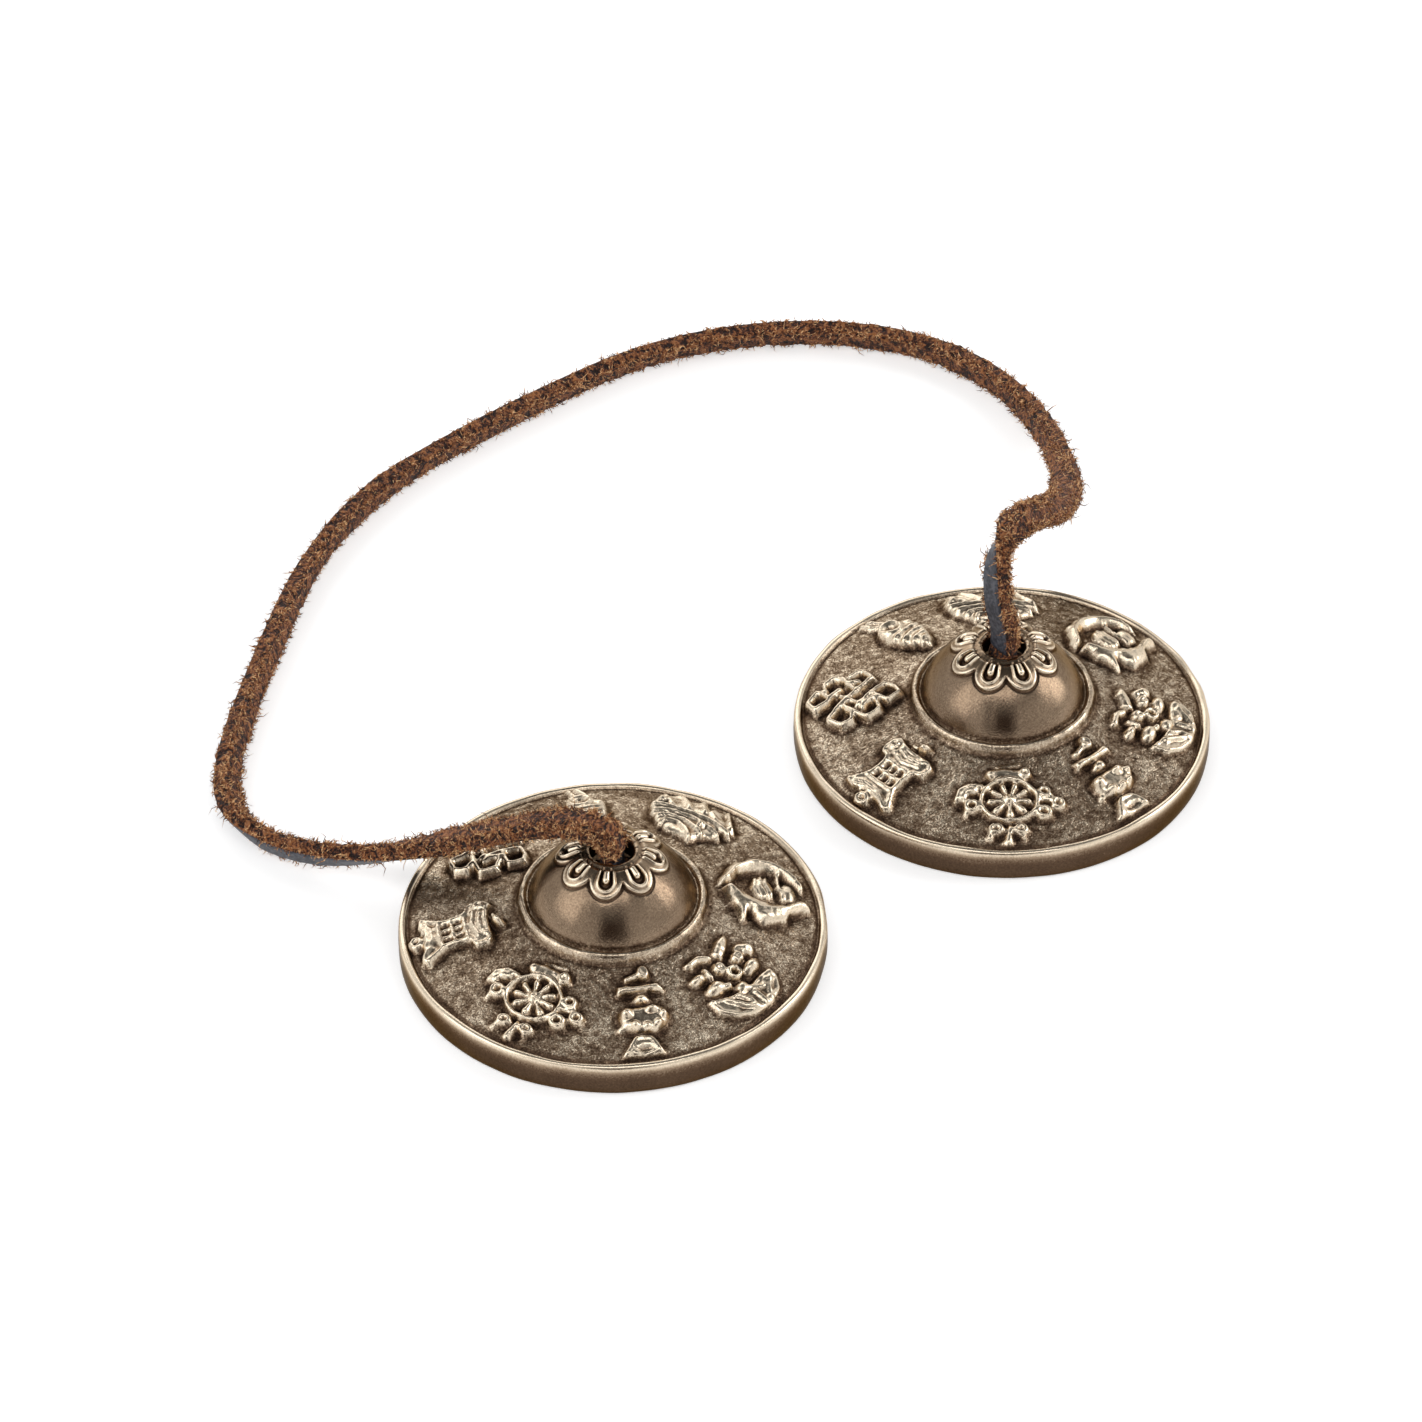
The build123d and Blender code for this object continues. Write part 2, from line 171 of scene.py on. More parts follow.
@dataclass(frozen=True)
class Plate:
    """Raised area inside a line of corners, with a rounded shoulder."""

    corners: tuple[Point, ...]
    height: float
    shoulder: float = 0.6

    def height_over(self, across: np.ndarray, up: np.ndarray) -> np.ndarray:
        """Height of the raised area over each point.

        Args:
            across: Distances to the right of the symbol's middle.
            up: Distances towards the dome from the symbol's middle.

        Returns:
            Heights in millimetres.
        """
        inside = np.zeros(across.shape, dtype=bool)
        nearest = np.full(across.shape, np.inf)
        for (a, b), (c, d) in zip(self.corners, self.corners[1:] + self.corners[:1]):
            run_a, run_b = c - a, d - b
            share = ((across - a) * run_a + (up - b) * run_b) / (run_a**2 + run_b**2)
            share = np.clip(share, 0, 1)
            nearest = np.minimum(nearest, np.hypot(across - a - share * run_a, up - b - share * run_b))
            spans = (b > up) != (d > up)
            crossing = a + (up - b) * run_a / (run_b if run_b else 1e-9)
            inside ^= spans & (across < crossing)
        depth = np.where(inside, nearest, 0.0)
        return self.height * np.sqrt(1 - (1 - np.clip(depth / self.shoulder, 0, 1)) ** 2)


def bosses(*rows: tuple[float, ...]) -> tuple[Boss, ...]:
    """Rounded lumps, from rows of right, up, both half widths, height and any turn."""
    return tuple(Boss((right, up), (wide, deep), *rest) for right, up, wide, deep, *rest in rows)


def dots(*rows: tuple[float, float, float, float]) -> tuple[Ring, ...]:
    """Small drilled rings with a pit in their middle, from rows of right, up, radius and height."""
    return tuple(
        Ring((right, up), (0.72 * radius, 0.72 * radius), 0.95 * radius, height)
        for right, up, radius, height in rows
    )


@dataclass(frozen=True)
class Symbol:
    """One of the eight auspicious symbols, at its bearing round the field."""

    name: str
    bearing: float
    raised: tuple[Stroke, ...]
    sunk: tuple[Stroke, ...] = ()
    deepest: float = -0.15

    def height_over(self, across: np.ndarray, up: np.ndarray) -> np.ndarray:
        """Height of the whole symbol over each point.

        Args:
            across: Distances to the right of the symbol's middle.
            up: Distances towards the dome from the symbol's middle.

        Returns:
            Heights in millimetres.
        """
        height = np.zeros_like(across)
        for stroke in self.raised:
            height = np.maximum(height, stroke.height_over(across, up))
        for stroke in self.sunk:
            height = height - stroke.height_over(across, up)
        return np.maximum(height, self.deepest)


def wheel() -> Symbol:
    """Wheel with petal spokes, a cap over it, flames on one side and drilled dots round it.

    Returns:
        The symbol at its bearing.
    """
    ways = [(math.cos(math.radians(turn)), math.sin(math.radians(turn))) for turn in range(30, 390, 40)]
    spokes = tuple(
        Bead(((1.15 * right, 0.1 + up), (2.95 * right, 2.6 * up)), 0.55, 0.85, 1.45)
        for right, up in ways
    )
    cap = (
        (-4.4, 5.4), (-1.5, 5.9), (2.0, 5.7), (4.2, 5.3), (4.9, 3.9),
        (3.4, 3.4), (0.0, 4.0), (-3.2, 3.3), (-4.2, 3.7),
    )
    lumps = bosses(
        (0.0, 0.2, 1.05, 1.0, 1.0), (-3.4, 4.5, 1.2, 1.0, 1.1), (-6.3, 0.9, 1.7, 1.0, 1.05, 15.0),
        (-7.1, -0.4, 0.9, 1.2, 1.0), (6.4, -0.2, 0.8, 0.6, 0.9),
    )
    drilled = dots(
        (3.2, 4.6, 1.05, 1.2), (-5.4, -1.7, 1.15, 1.1), (5.6, 0.8, 1.1, 1.1), (7.1, -1.7, 1.05, 1.1),
        (4.7, -2.8, 1.15, 1.1), (-1.8, -5.3, 0.95, 1.0), (1.3, -5.4, 0.9, 1.0),
    )
    lines = (
        Ring((0.0, 0.0), (4.3, 3.75), 0.95, 1.05),
        Plate(cap, 0.8, 0.7),
        Bead(((-2.4, 6.2), (0.2, 6.4), (2.4, 6.6)), 0.6, 0.5),
        Bead(((-4.6, 2.1), (-6.6, 2.0), (-8.0, 0.6), (-7.9, -1.3)), 1.2, 1.0, 0.8),
        Bead(((-6.1, -2.2), (-6.0, -3.8)), 0.8, 0.8, 0.4),
        Bead(((4.5, -0.6), (6.2, -0.8), (7.2, -0.8)), 0.7, 0.9),
        Bead(((-2.3, -5.9), (-2.6, -7.3)), 0.8, 0.8, 0.5),
        Bead(((1.5, -6.0), (1.6, -7.4)), 0.6, 0.7, 0.4),
        Bead(((0.0, -4.7), (-0.3, -7.8)), 0.6, 0.9, 1.3),
    )
    return Symbol("wheel", -127.5, spokes + lumps + drilled + lines, bosses((0.25, 0.4, 0.35, 0.35, 0.6)))


def vase() -> Symbol:
    """Treasure vase: a jewelled lid with a wide brim, a short neck, a lobed body and a flared foot.

    Returns:
        The symbol at its bearing.
    """
    lid = (
        (-2.5, 5.9), (0.4, 6.6), (1.3, 7.1), (2.8, 6.7), (3.1, 5.8), (2.4, 4.9), (0.2, 5.2), (-2.3, 4.7),
    )
    brim = (
        (-3.9, 4.3), (-2.0, 4.4), (0.0, 4.2), (3.9, 4.3), (4.4, 2.4), (2.2, 2.9), (-0.5, 3.0), (-3.7, 2.6),
    )
    body = (
        (-3.7, -0.2), (-2.8, 0.6), (2.6, 0.55), (3.7, -0.5), (3.7, -1.8),
        (2.8, -3.5), (1.0, -4.5), (-1.2, -4.4), (-2.9, -3.5), (-3.7, -1.8),
    )
    foot = ((-1.7, -4.7), (0.6, -4.8), (1.4, -8.0), (-3.0, -8.0))
    foot_edge = ((-2.9, -7.8), (-2.2, -6.2), (-1.5, -4.9), (0.3, -5.0), (0.9, -6.2), (1.2, -7.8))
    lobes = bosses(
        (0.2, 1.75, 1.5, 1.05, 1.0), (-2.4, -0.9, 1.25, 1.3, 1.7), (-1.4, -3.0, 0.8, 0.85, 1.65),
        (0.2, -3.4, 0.75, 0.8, 1.6), (1.7, -3.1, 0.75, 0.8, 1.6), (2.8, -1.7, 0.7, 0.85, 1.6),
        (1.3, -0.6, 1.3, 0.8, 1.7), (-3.2, -3.2, 0.6, 0.6, 0.8),
    )
    lines = (
        Plate(lid, 0.95, 0.5),
        Plate(brim, 1.1, 0.6),
        Bead(((-3.6, 3.0), (0.0, 3.3), (4.2, 2.8)), 0.6, 1.25),
        Plate(body, 1.05, 1.3),
        Plate(foot, 0.7, 0.5),
        Bead(foot_edge, 0.7, 1.1),
    )
    jewel = dots((1.7, 6.2, 1.15, 1.25))
    return Symbol("vase", -85.7, jewel + lobes + lines, bosses((-0.6, -7.0, 1.1, 0.7, 0.4)))


def lotus() -> Symbol:
    """Lotus: round blossoms and buds over one veined leaf.

    Returns:
        The symbol at its bearing.
    """
    left_leaf = ((-5.9, 5.3), (-2.4, 5.8), (-0.8, 5.1), (0.4, 3.4), (-1.2, 3.3), (-2.6, 4.2), (-5.0, 3.9))
    right_leaf = ((0.4, 4.6), (3.5, 5.5), (6.3, 5.0), (6.0, 4.0), (3.2, 2.9), (0.6, 2.2), (0.2, 3.2))
    bowl = (
        (-5.9, -2.2), (-4.2, -2.9), (-2.2, -3.4), (0.0, -3.7), (2.5, -3.6), (4.4, -3.8),
        (4.0, -5.4), (2.8, -6.8), (0.5, -7.6), (-1.8, -7.4), (-4.0, -6.2), (-5.5, -4.4),
    )
    veins = (
        ((-4.0, -3.2), (-2.6, -5.2), (-1.6, -6.9)),
        ((-2.2, -3.6), (-1.3, -5.4), (-1.2, -7.1)),
        ((0.1, -4.6), (0.0, -7.2)),
        ((4.0, -4.2), (2.2, -5.4), (0.8, -7.0)),
    )
    blossoms = bosses(
        (-5.2, 1.9, 1.8, 1.05, 1.2), (-0.7, 1.7, 1.3, 1.25, 1.2), (3.1, 1.0, 1.35, 1.2, 1.25),
        (5.5, 0.7, 1.35, 1.4, 1.2), (4.9, 2.0, 1.4, 0.7, 0.9), (-3.8, -0.8, 1.9, 1.4, 1.3),
        (-2.2, -1.6, 0.75, 0.75, 1.45), (3.2, -1.5, 1.9, 1.25, 1.25), (-0.6, -2.9, 1.3, 1.1, 1.05),
    )
    lines = (
        Plate(left_leaf, 0.85, 0.7),
        Plate(right_leaf, 0.85, 0.7),
        Bead(((-5.4, 4.7), (-2.2, 5.2), (-0.4, 3.9)), 0.6, 1.0),
        Bead(((0.8, 3.5), (3.2, 4.4), (5.9, 4.6)), 0.6, 1.05),
        Bead(((-3.1, 2.9), (-3.2, 1.0)), 0.9, 1.2),
        Ring((0.4, -0.4), (0.85, 0.9), 0.9, 1.35),
        Plate(bowl, 0.55, 0.5),
        Bead(bowl + bowl[:1], 0.6, 0.95),
        Bead(((0.7, -4.1), (1.4, -5.1), (2.6, -4.2), (3.2, -5.1)), 0.6, 1.0),
    )
    pits = bosses(
        (-0.7, 1.6, 0.4, 0.4, 0.6), (3.1, 1.0, 0.4, 0.35, 0.5), (5.4, 0.4, 0.35, 0.35, 0.4),
        (0.5, -0.4, 0.4, 0.4, 0.4),
    )
    return Symbol("lotus", -46.2, blossoms + lines + tuple(Bead(vein, 0.7, 1.1) for vein in veins), pits)


def golden_fish() -> Symbol:
    """Two fish, head to tail, bent round a rippled pool.

    Returns:
        The symbol at its bearing.
    """
    left_fish = (
        (-0.6, 6.6), (-4.5, 5.6), (-6.2, 4.4), (-8.8, 3.2), (-8.4, 2.6), (-6.2, 2.2), (-7.3, 1.3),
        (-8.2, 0.0), (-7.2, -2.0), (-6.3, -3.7), (-5.0, -4.2), (-4.2, -6.0), (-3.6, -7.6), (-1.9, -6.9),
        (-2.2, -5.0), (-3.2, -3.2), (-3.6, -1.0), (-2.8, 1.5), (-1.8, 3.4), (0.7, 4.4), (0.2, 5.4),
    )
    right_fish = (
        (0.1, 7.0), (2.5, 6.4), (5.0, 4.6), (6.8, 2.6), (6.0, 1.4), (6.9, 0.0), (6.4, -2.2), (5.2, -4.0),
        (3.2, -6.0), (0.8, -7.2), (-0.6, -6.6), (1.0, -5.2), (2.6, -4.0), (3.7, -2.0), (4.1, 0.4),
        (3.2, 2.6), (1.0, 4.4), (0.5, 5.6),
    )
    lines = (
        Plate(left_fish, 1.3, 1.5),
        Plate(right_fish, 1.2, 1.3),
        Bead(((-1.2, 5.4), (-4.2, 3.6), (-5.6, 0.6), (-5.0, -2.6), (-3.4, -5.6)), 1.6, 1.5, 0.8),
        Bead(((1.4, 5.6), (4.4, 3.0), (5.4, 0.0), (4.4, -3.2), (1.6, -6.0)), 1.4, 1.4, 0.7),
        Bead(((-2.2, 0.5), (0.0, 1.2), (2.1, 0.6)), 0.6, 1.1),
        Bead(((-2.2, -0.5), (0.2, 0.3), (2.4, -0.4)), 0.6, 1.15),
        Bead(((-1.6, -1.4), (0.6, -0.7), (2.2, -1.3)), 0.6, 1.05),
        Bead(((-2.0, -3.2), (0.4, -2.8), (3.2, -3.6)), 0.6, 1.0),
    )
    pool = bosses((0.1, -0.2, 2.7, 2.1, 0.8), (-0.4, -4.2, 1.9, 1.4, 0.8))
    eyes = bosses((0.5, 3.5, 0.5, 0.6, 0.5), (-3.9, -3.3, 0.35, 0.35, 0.6))
    return Symbol("fish", 4.4, lines + pool, eyes)


def parasol() -> Symbol:
    """Parasol: a canopy of gathered silk with a wavy fringe.

    Returns:
        The symbol at its bearing.
    """
    canopy = (
        (-3.8, 5.2), (-1.0, 4.7), (2.0, 4.3), (4.2, 3.0), (6.2, 0.2), (6.9, -3.0), (6.4, -5.6), (5.4, -6.3),
        (3.8, -7.6), (2.0, -6.4), (0.2, -7.6), (-1.2, -5.6), (-2.6, -7.2), (-3.6, -4.8), (-6.6, -3.2),
        (-6.8, -1.2), (-5.0, -0.8), (-6.4, 0.6), (-4.6, 2.4),
    )
    lines = (
        Plate(canopy, 0.75, 1.0),
        Bead(((-3.4, 4.6), (-1.6, 3.1), (0.6, 2.0), (2.8, 2.2), (3.4, 3.4)), 0.8, 1.3),
        Bead(((-4.4, 2.4), (-2.2, 1.6), (0.2, 0.8), (3.0, 0.8), (4.6, 1.6)), 0.8, 1.35),
        Bead(((-6.0, 0.2), (-3.4, -0.2), (-0.4, -0.8), (3.0, -0.6), (5.6, -0.2)), 0.85, 1.35),
        Bead(((-6.4, -1.6), (-3.2, -2.2), (0.0, -2.1), (3.5, -2.2), (6.2, -2.2)), 0.85, 1.3),
        Bead(((-5.8, -3.1), (-4.2, -4.8), (-2.8, -7.0)), 1.1, 1.2, 0.6),
        Bead(((-3.0, -3.2), (-1.6, -4.4), (-1.6, -5.6)), 0.8, 1.15, 0.5),
        Bead(((-1.0, -3.6), (0.2, -5.6), (0.5, -7.4)), 1.0, 1.2, 0.5),
        Bead(((1.2, -3.4), (2.4, -5.4), (3.8, -7.4)), 1.0, 1.2, 0.5),
        Bead(((3.6, -3.2), (4.6, -4.8), (5.6, -6.2)), 1.0, 1.2, 0.5),
    )
    return Symbol("parasol", 53.5, lines + bosses((-2.6, 0.5, 0.9, 0.8, 1.5), (5.2, -3.9, 1.0, 0.9, 1.35)))


def conch() -> Symbol:
    """Conch shell with ridged whorls, an open mouth and a ribbon below it.

    Returns:
        The symbol at its bearing.
    """
    shell = (
        (-0.4, 7.0), (0.6, 6.4), (1.6, 5.0), (2.7, 3.0), (3.1, 0.4), (2.6, -2.0), (1.2, -3.9),
        (-0.6, -4.2), (-1.6, -3.0), (-3.4, -2.6), (-3.6, 0.0), (-3.8, 3.0), (-2.8, 5.4),
    )
    lines = (
        Plate(shell, 1.2, 1.6),
        Bead(((-1.6, 5.2), (-0.4, 5.3), (0.8, 5.8)), 0.7, 1.5),
        Bead(((-2.2, 3.8), (-0.6, 3.8), (1.6, 4.4)), 0.75, 1.6),
        Bead(((-2.8, 2.2), (-0.8, 2.2), (2.3, 2.8)), 0.8, 1.6),
        Bead(((-3.0, 0.6), (-0.8, 0.7), (2.6, 1.1)), 0.8, 1.55),
        Ring((0.5, -1.8), (1.55, 1.7), 1.1, 1.55),
        Boss((-2.4, -0.9), (1.0, 1.0), 1.4),
        Bead(((-1.8, -3.1), (-0.8, -5.6), (0.1, -8.0)), 0.75, 0.9),
        Bead(((-0.4, -4.3), (0.7, -6.0), (1.0, -8.0)), 0.75, 0.9),
    )
    return Symbol("conch", 94.0, lines, bosses((0.4, -1.6, 0.6, 0.9, 0.9)))


def endless_knot() -> Symbol:
    """Endless knot: one flat band woven through itself, with a loop at each turn.

    Returns:
        The symbol at its bearing.
    """
    band, crest = 1.15, 1.35
    runs = (
        ((-2.6, 4.6), (-1.2, 6.4), (0.9, 7.2), (2.6, 5.3), (0.7, 3.5), (-0.4, 2.6)),
        ((-2.6, 4.6), (-0.6, 3.0), (1.7, 1.1), (2.6, 0.3)),
        ((1.1, 3.3), (4.5, 3.8), (5.6, 1.6), (3.6, -0.3), (2.4, -1.1)),
        ((1.3, 3.2), (2.3, 1.7), (3.2, 1.1)),
        ((3.3, -0.7), (5.2, -0.9), (5.5, -2.6), (3.8, -4.6), (1.6, -2.4), (0.9, -1.2)),
        ((1.9, -1.7), (2.8, -1.5), (3.3, -0.6)),
        ((-2.2, -2.6), (0.4, -4.6), (1.3, -6.4), (-0.2, -7.7), (-1.8, -6.4), (-1.5, -5.2), (-0.6, -4.4)),
        ((-1.7, -4.7), (-3.2, -5.5), (-4.6, -4.3), (-4.0, -2.2), (-2.4, -0.8), (-1.0, 0.4)),
        ((-4.9, -1.6), (-6.2, 0.0), (-4.6, 2.2), (-2.4, 1.0), (-0.6, -0.4), (1.0, -1.9), (2.2, -3.2)),
        ((-4.4, -2.6), (-3.0, -1.6), (-3.6, 0.2)),
        ((-0.4, -2.4), (0.8, -0.6), (2.2, 0.8)),
    )
    return Symbol("knot", 138.3, tuple(Bead(run, band, crest) for run in runs))


def victory_banner() -> Symbol:
    """Victory banner: a pinched drum with a curled roof, two rungs of slots and a scalloped hem.

    Returns:
        The symbol at its bearing.
    """
    edge = (
        (-4.7, 3.4), (-4.0, 4.3), (-2.2, 3.8), (0.0, 3.6), (2.6, 3.6), (4.4, 3.4), (5.2, 2.6), (4.6, 1.0),
        (3.0, 0.6), (2.6, -1.0), (2.4, -3.2), (2.9, -4.6), (3.7, -6.6), (3.2, -7.3), (2.2, -6.6), (0.6, -5.7),
        (-1.0, -5.7), (-2.2, -6.6), (-3.6, -6.4), (-2.8, -4.6), (-2.2, -3.2), (-2.2, -0.8), (-2.6, 0.6),
        (-4.2, 0.8), (-4.8, 2.2),
    )
    lines = (
        Plate(edge, 0.75, 0.6),
        Bead(edge + edge[:1], 0.75, 1.2),
        Bead(((-2.6, 2.0), (0.0, 1.4), (3.2, 2.0)), 0.6, 1.15),
        Bead(((-2.2, 3.0), (0.4, 2.5), (3.4, 3.0)), 0.6, 1.15),
        Bead(((-2.0, 0.3), (2.5, 0.3)), 0.6, 1.15),
        Bead(((-1.9, -1.6), (2.4, -1.6)), 0.55, 1.1),
        Bead(((-1.9, -3.7), (2.5, -3.8)), 0.6, 1.15),
        Bead(((-2.6, -5.8), (-1.2, -4.9), (0.6, -4.9), (2.0, -5.8), (3.0, -6.8)), 0.6, 1.2),
        Bead(((-1.2, -6.6), (0.0, -6.2), (1.2, -6.6)), 0.5, 0.9),
        Boss((1.5, 5.3), (1.5, 0.85), 1.8, 30.0),
        Bead(((-1.2, 4.8), (0.4, 4.9), (1.6, 5.2)), 0.7, 1.1),
    )
    slots = tuple(
        Bead(((right, up + 0.3), (right, up - 0.3)), 0.6, 0.8)
        for up in (-0.65, -2.6)
        for right in (-1.2, 0.1, 1.4)
    )
    return Symbol("banner", -176.1, lines + dots((0.0, -7.5, 0.95, 1.1), (-3.8, 2.8, 0.9, 1.25)), slots)


class Zone(Enum):
    """Parts of a casting that left the mould and the polisher's wheel differently."""

    BORE = 0
    MOUTH = 1
    DOME = 2
    COLLAR = 3
    FIELD = 4
    LIP = 5
    RIM = 6
    UNDER = 7


@dataclass(frozen=True)
class Skin:
    """How a zone looks: its sandiness, its darkness, and how far its shape wavers in millimetres."""

    grain: float
    patina: float
    waver: float


SKINS = {
    Zone.BORE: Skin(0.6, 0.85, 0.02),
    Zone.MOUTH: Skin(0.15, 0.26, 0.05),
    Zone.DOME: Skin(0.18, 0.45, 0.03),
    Zone.COLLAR: Skin(0.3, 0.2, 0.12),
    Zone.FIELD: Skin(1.0, 0.33, 0.08),
    Zone.LIP: Skin(0.1, 0.0, 0.12),
    Zone.RIM: Skin(0.22, 0.72, 0.06),
    Zone.UNDER: Skin(0.8, 0.55, 0.04),
}

# A petal's height in millimetres: from its axis out, over a floor, a ridge and a border, and inwards from
# its outline, over the groove round it to the border
PETAL_SPANS = (0.84, 0.98, 1.24, 1.46, 1.6)
PETAL_HEIGHTS = (-0.02, 0.35, 0.82, 0.5, 0.38)
PETAL_EDGE_DEPTHS = (-0.34, -0.1, 0.1, 0.28)
PETAL_EDGE_HEIGHTS = (0.0, -0.2, 0.22, 0.38)


@dataclass(frozen=True)
class Row:
    """One ring of the casting: its zone, and its radius and height in millimetres."""

    zone: Zone
    radius: float
    height: float


@dataclass(frozen=True)
class Groove:
    """Ring that the polisher can't reach, between two radii: its added patina, and its sandiness."""

    inner: float
    outer: float
    patina: float
    grain: float

    def holds(self, row: Row) -> bool:
        """Whether a ring of the casting's upper side lies in the groove."""
        return row.zone is not Zone.UNDER and self.inner < row.radius < self.outer


@dataclass(frozen=True)
class Weathering:
    """How sand, wavers, patina and painted shade lie on a casting. Distances are in millimetres."""

    sand_reach: float = 0.2
    sand_gap: float = 0.24
    sand_height: float = 0.03
    sand_patina: float = 0.1
    swell_passes: int = 60
    swell_share: float = 0.5
    hollow_gap: float = 0.22
    # Darkening in the wide and fine hollows: partly patina, partly painted shade at the feet of the relief
    # and in its recesses
    wide_reach: float = 0.7
    wide_limits: Point = (-0.3, 0.6)
    wide_patina_and_shade: float = 0.7
    fine_reach: float = 0.27
    fine_limits: Point = (-0.12, 0.2)
    fine_patina_and_shade: float = 2.8
    raised_from: float = 0.15
    raised_over: float = 0.5
    raised_patina: float = 0.32
    raised_polish: float = 0.8


def show(name: str, mesh: bpy.types.Mesh, *finishes: bpy.types.Material) -> bpy.types.Object:
    """Puts a smooth mesh in the scene.

    Args:
        name: The piece's name.
        mesh: Its shape.
        finishes: Its finishes, in the order that its faces number them.

    Returns:
        The piece, not yet on a body.
    """
    mesh.shade_smooth()
    for finish in finishes:
        mesh.materials.append(finish)
    piece = bpy.data.objects.new(name, mesh)
    bpy.context.scene.collection.objects.link(piece)
    return piece


def soften(grid: np.ndarray, passes: int) -> np.ndarray:
    """Blurs a grid of rings, which close round their second axis.

    Args:
        grid: One row of values for each ring.
        passes: How many times each value takes half of its neighbours.

    Returns:
        A blurred copy.
    """
    for _ in range(passes):
        grid = (np.roll(grid, 1, 1) + 2 * grid + np.roll(grid, -1, 1)) / 4
        grid = (np.roll(grid, 1, 0) + 2 * grid + np.roll(grid, -1, 0)) / 4
    return grid


def spread_out(grid: np.ndarray, radius: np.ndarray, reach: float, row_gap: float) -> np.ndarray:
    """Blurs a grid of rings by the same reach round each ring and from ring to ring.

    Args:
        grid: One row of values for each ring.
        radius: Radius of each ring in millimetres.
        reach: How far the blur spreads, in millimetres.
        row_gap: Usual distance between rings, in millimetres.

    Returns:
        A blurred copy.
    """
    waves = np.arange(grid.shape[1] // 2 + 1)
    fade = np.exp(-0.5 * (waves * reach / radius[:, None]) ** 2)
    grid = np.fft.irfft(np.fft.rfft(grid, axis=1) * fade, grid.shape[1], axis=1)
    for _ in range(round(2 * (reach / row_gap) ** 2)):
        grid = (np.roll(grid, 1, 0) + 2 * grid + np.roll(grid, -1, 0)) / 4
    return grid


@dataclass
class Cymbal:
    """One casting, with its axis on Z until it is put in its place. Sizes are in millimetres."""

    name: str
    body: str
    centre_x: float
    turn: float
    seed: int
    symbols: tuple[Symbol, ...]
    rim_radius: float = 32.5
    rim_height: float = 5.5
    field_edge: Point = (30.75, 5.25)
    field_top: Point = (14.75, 9.62)
    symbol_radius: float = 22.7
    dome_radius: float = 13.18
    dome_centre: float = 7.28
    dome_base: Point = (12.7, 10.8)
    mouth_radius: float = 4.4
    hole_radius: float = 3.25
    wall: float = 3.0
    rest_inner: float = 30.0
    cavity_mouth: float = 5.3
    petals: int = 8
    petal_turn: float = 30.0
    petal_length: float = 4.85
    petal_shoulder: float = 2.3
    petal_margin: float = 0.45
    petal_waist: Point = (0.68, 0.32)
    petal_parting: float = 1.2
    petal_root: float = 0.5
    tongue_gap: float = 0.5
    tongue_half: float = 0.7
    tongue_height: float = 0.78
    steps: int = 600
    dome_rings: tuple[int, int] = (38, 16)
    field_rings: int = 68
    under_rings: tuple[int, int] = (5, 8)
    relief_gain: float = 1.35
    symbol_reach: float = 9.6
    symbol_floor: float = 0.1
    symbol_rounding: float = 0.6
    symbol_ring_gap: float = 0.24
    symbol_edge: float = 0.5
    symbol_back: float = 0.55
    look: Weathering = Weathering()
    grooves: tuple[Groove, ...] = (
        Groove(12.45, 12.95, 0.2, 0.8),
        Groove(14.45, 15.0, 0.35, 0.9),
        Groove(30.6, 31.28, 0.6, 0.6),
    )

    def outline(self) -> list[Row]:
        """Rings of the casting, from the hole up over the dome, out to the rim and back underneath.

        Returns:
            The rings in order. The last one joins the first.
        """
        rows = [Row(Zone.BORE, self.hole_radius, height) for height in (17.2, 18.4, 19.3)]
        mouth = ((3.32, 19.7), (3.52, 20.0), (3.85, 20.1), (4.18, 20.0), (self.mouth_radius, 19.76))
        rows += [Row(Zone.MOUTH, radius, height) for radius, height in mouth]
        start = math.asin(self.mouth_radius / self.dome_radius)
        end = math.asin(self.dome_base[0] / self.dome_radius)
        carved = start + (self.petal_length + self.petal_margin) / self.dome_radius
        upper, lower = self.dome_rings
        tilts = [*np.linspace(start, carved, upper)[1:], *np.linspace(carved, end, lower)[1:]]
        rows += [self.on_sphere(Zone.DOME, self.dome_radius, tilt) for tilt in tilts]
        collar = (
            (12.86, 10.7), (13.05, 10.82), (13.22, 11.08), (13.46, 11.26), (13.72, 11.3),
            (13.98, 11.16), (14.18, 10.78), (14.34, 10.3), (14.52, 9.86),
        )
        rows += [Row(Zone.COLLAR, radius, height) for radius, height in collar]
        for share in np.linspace(0, 1, self.field_rings):
            radius = self.field_top[0] + share * (self.field_edge[0] - self.field_top[0])
            height = self.field_top[1] + share * (self.field_edge[1] - self.field_top[1])
            rows.append(Row(Zone.FIELD, radius, height))
        lip = (
            (30.96, 4.96), (31.14, 4.96), (31.34, 5.28), (31.58, 5.48), (31.9, self.rim_height),
            (32.16, 5.43), (32.36, 5.2), (32.43, 4.8),
        )
        rows += [Row(Zone.LIP, radius, height) for radius, height in lip]
        side = ((32.47, 4.0), (self.rim_radius, 2.9), (32.47, 1.7), (32.36, 0.8), (32.14, 0.25), (31.8, 0.0))
        rows += [Row(Zone.RIM, radius, height) for radius, height in side]
        cavity = self.dome_radius - self.wall
        flat, hollow = self.under_rings
        for share in np.linspace(0, 1, flat):
            radius = self.rest_inner + share * (cavity - self.rest_inner)
            rows.append(Row(Zone.UNDER, radius, share * self.cavity_mouth))
        rim_of_hole = math.asin(self.hole_radius / cavity)
        for tilt in np.linspace(math.pi / 2, rim_of_hole, hollow):
            rows.append(self.on_sphere(Zone.UNDER, cavity, tilt))
        return rows

    def on_sphere(self, zone: Zone, radius: float, tilt: float) -> Row:
        """Ring where a sphere round the dome's centre is tilted so far from its axis."""
        return Row(zone, radius * math.sin(tilt), self.dome_centre + radius * math.cos(tilt))

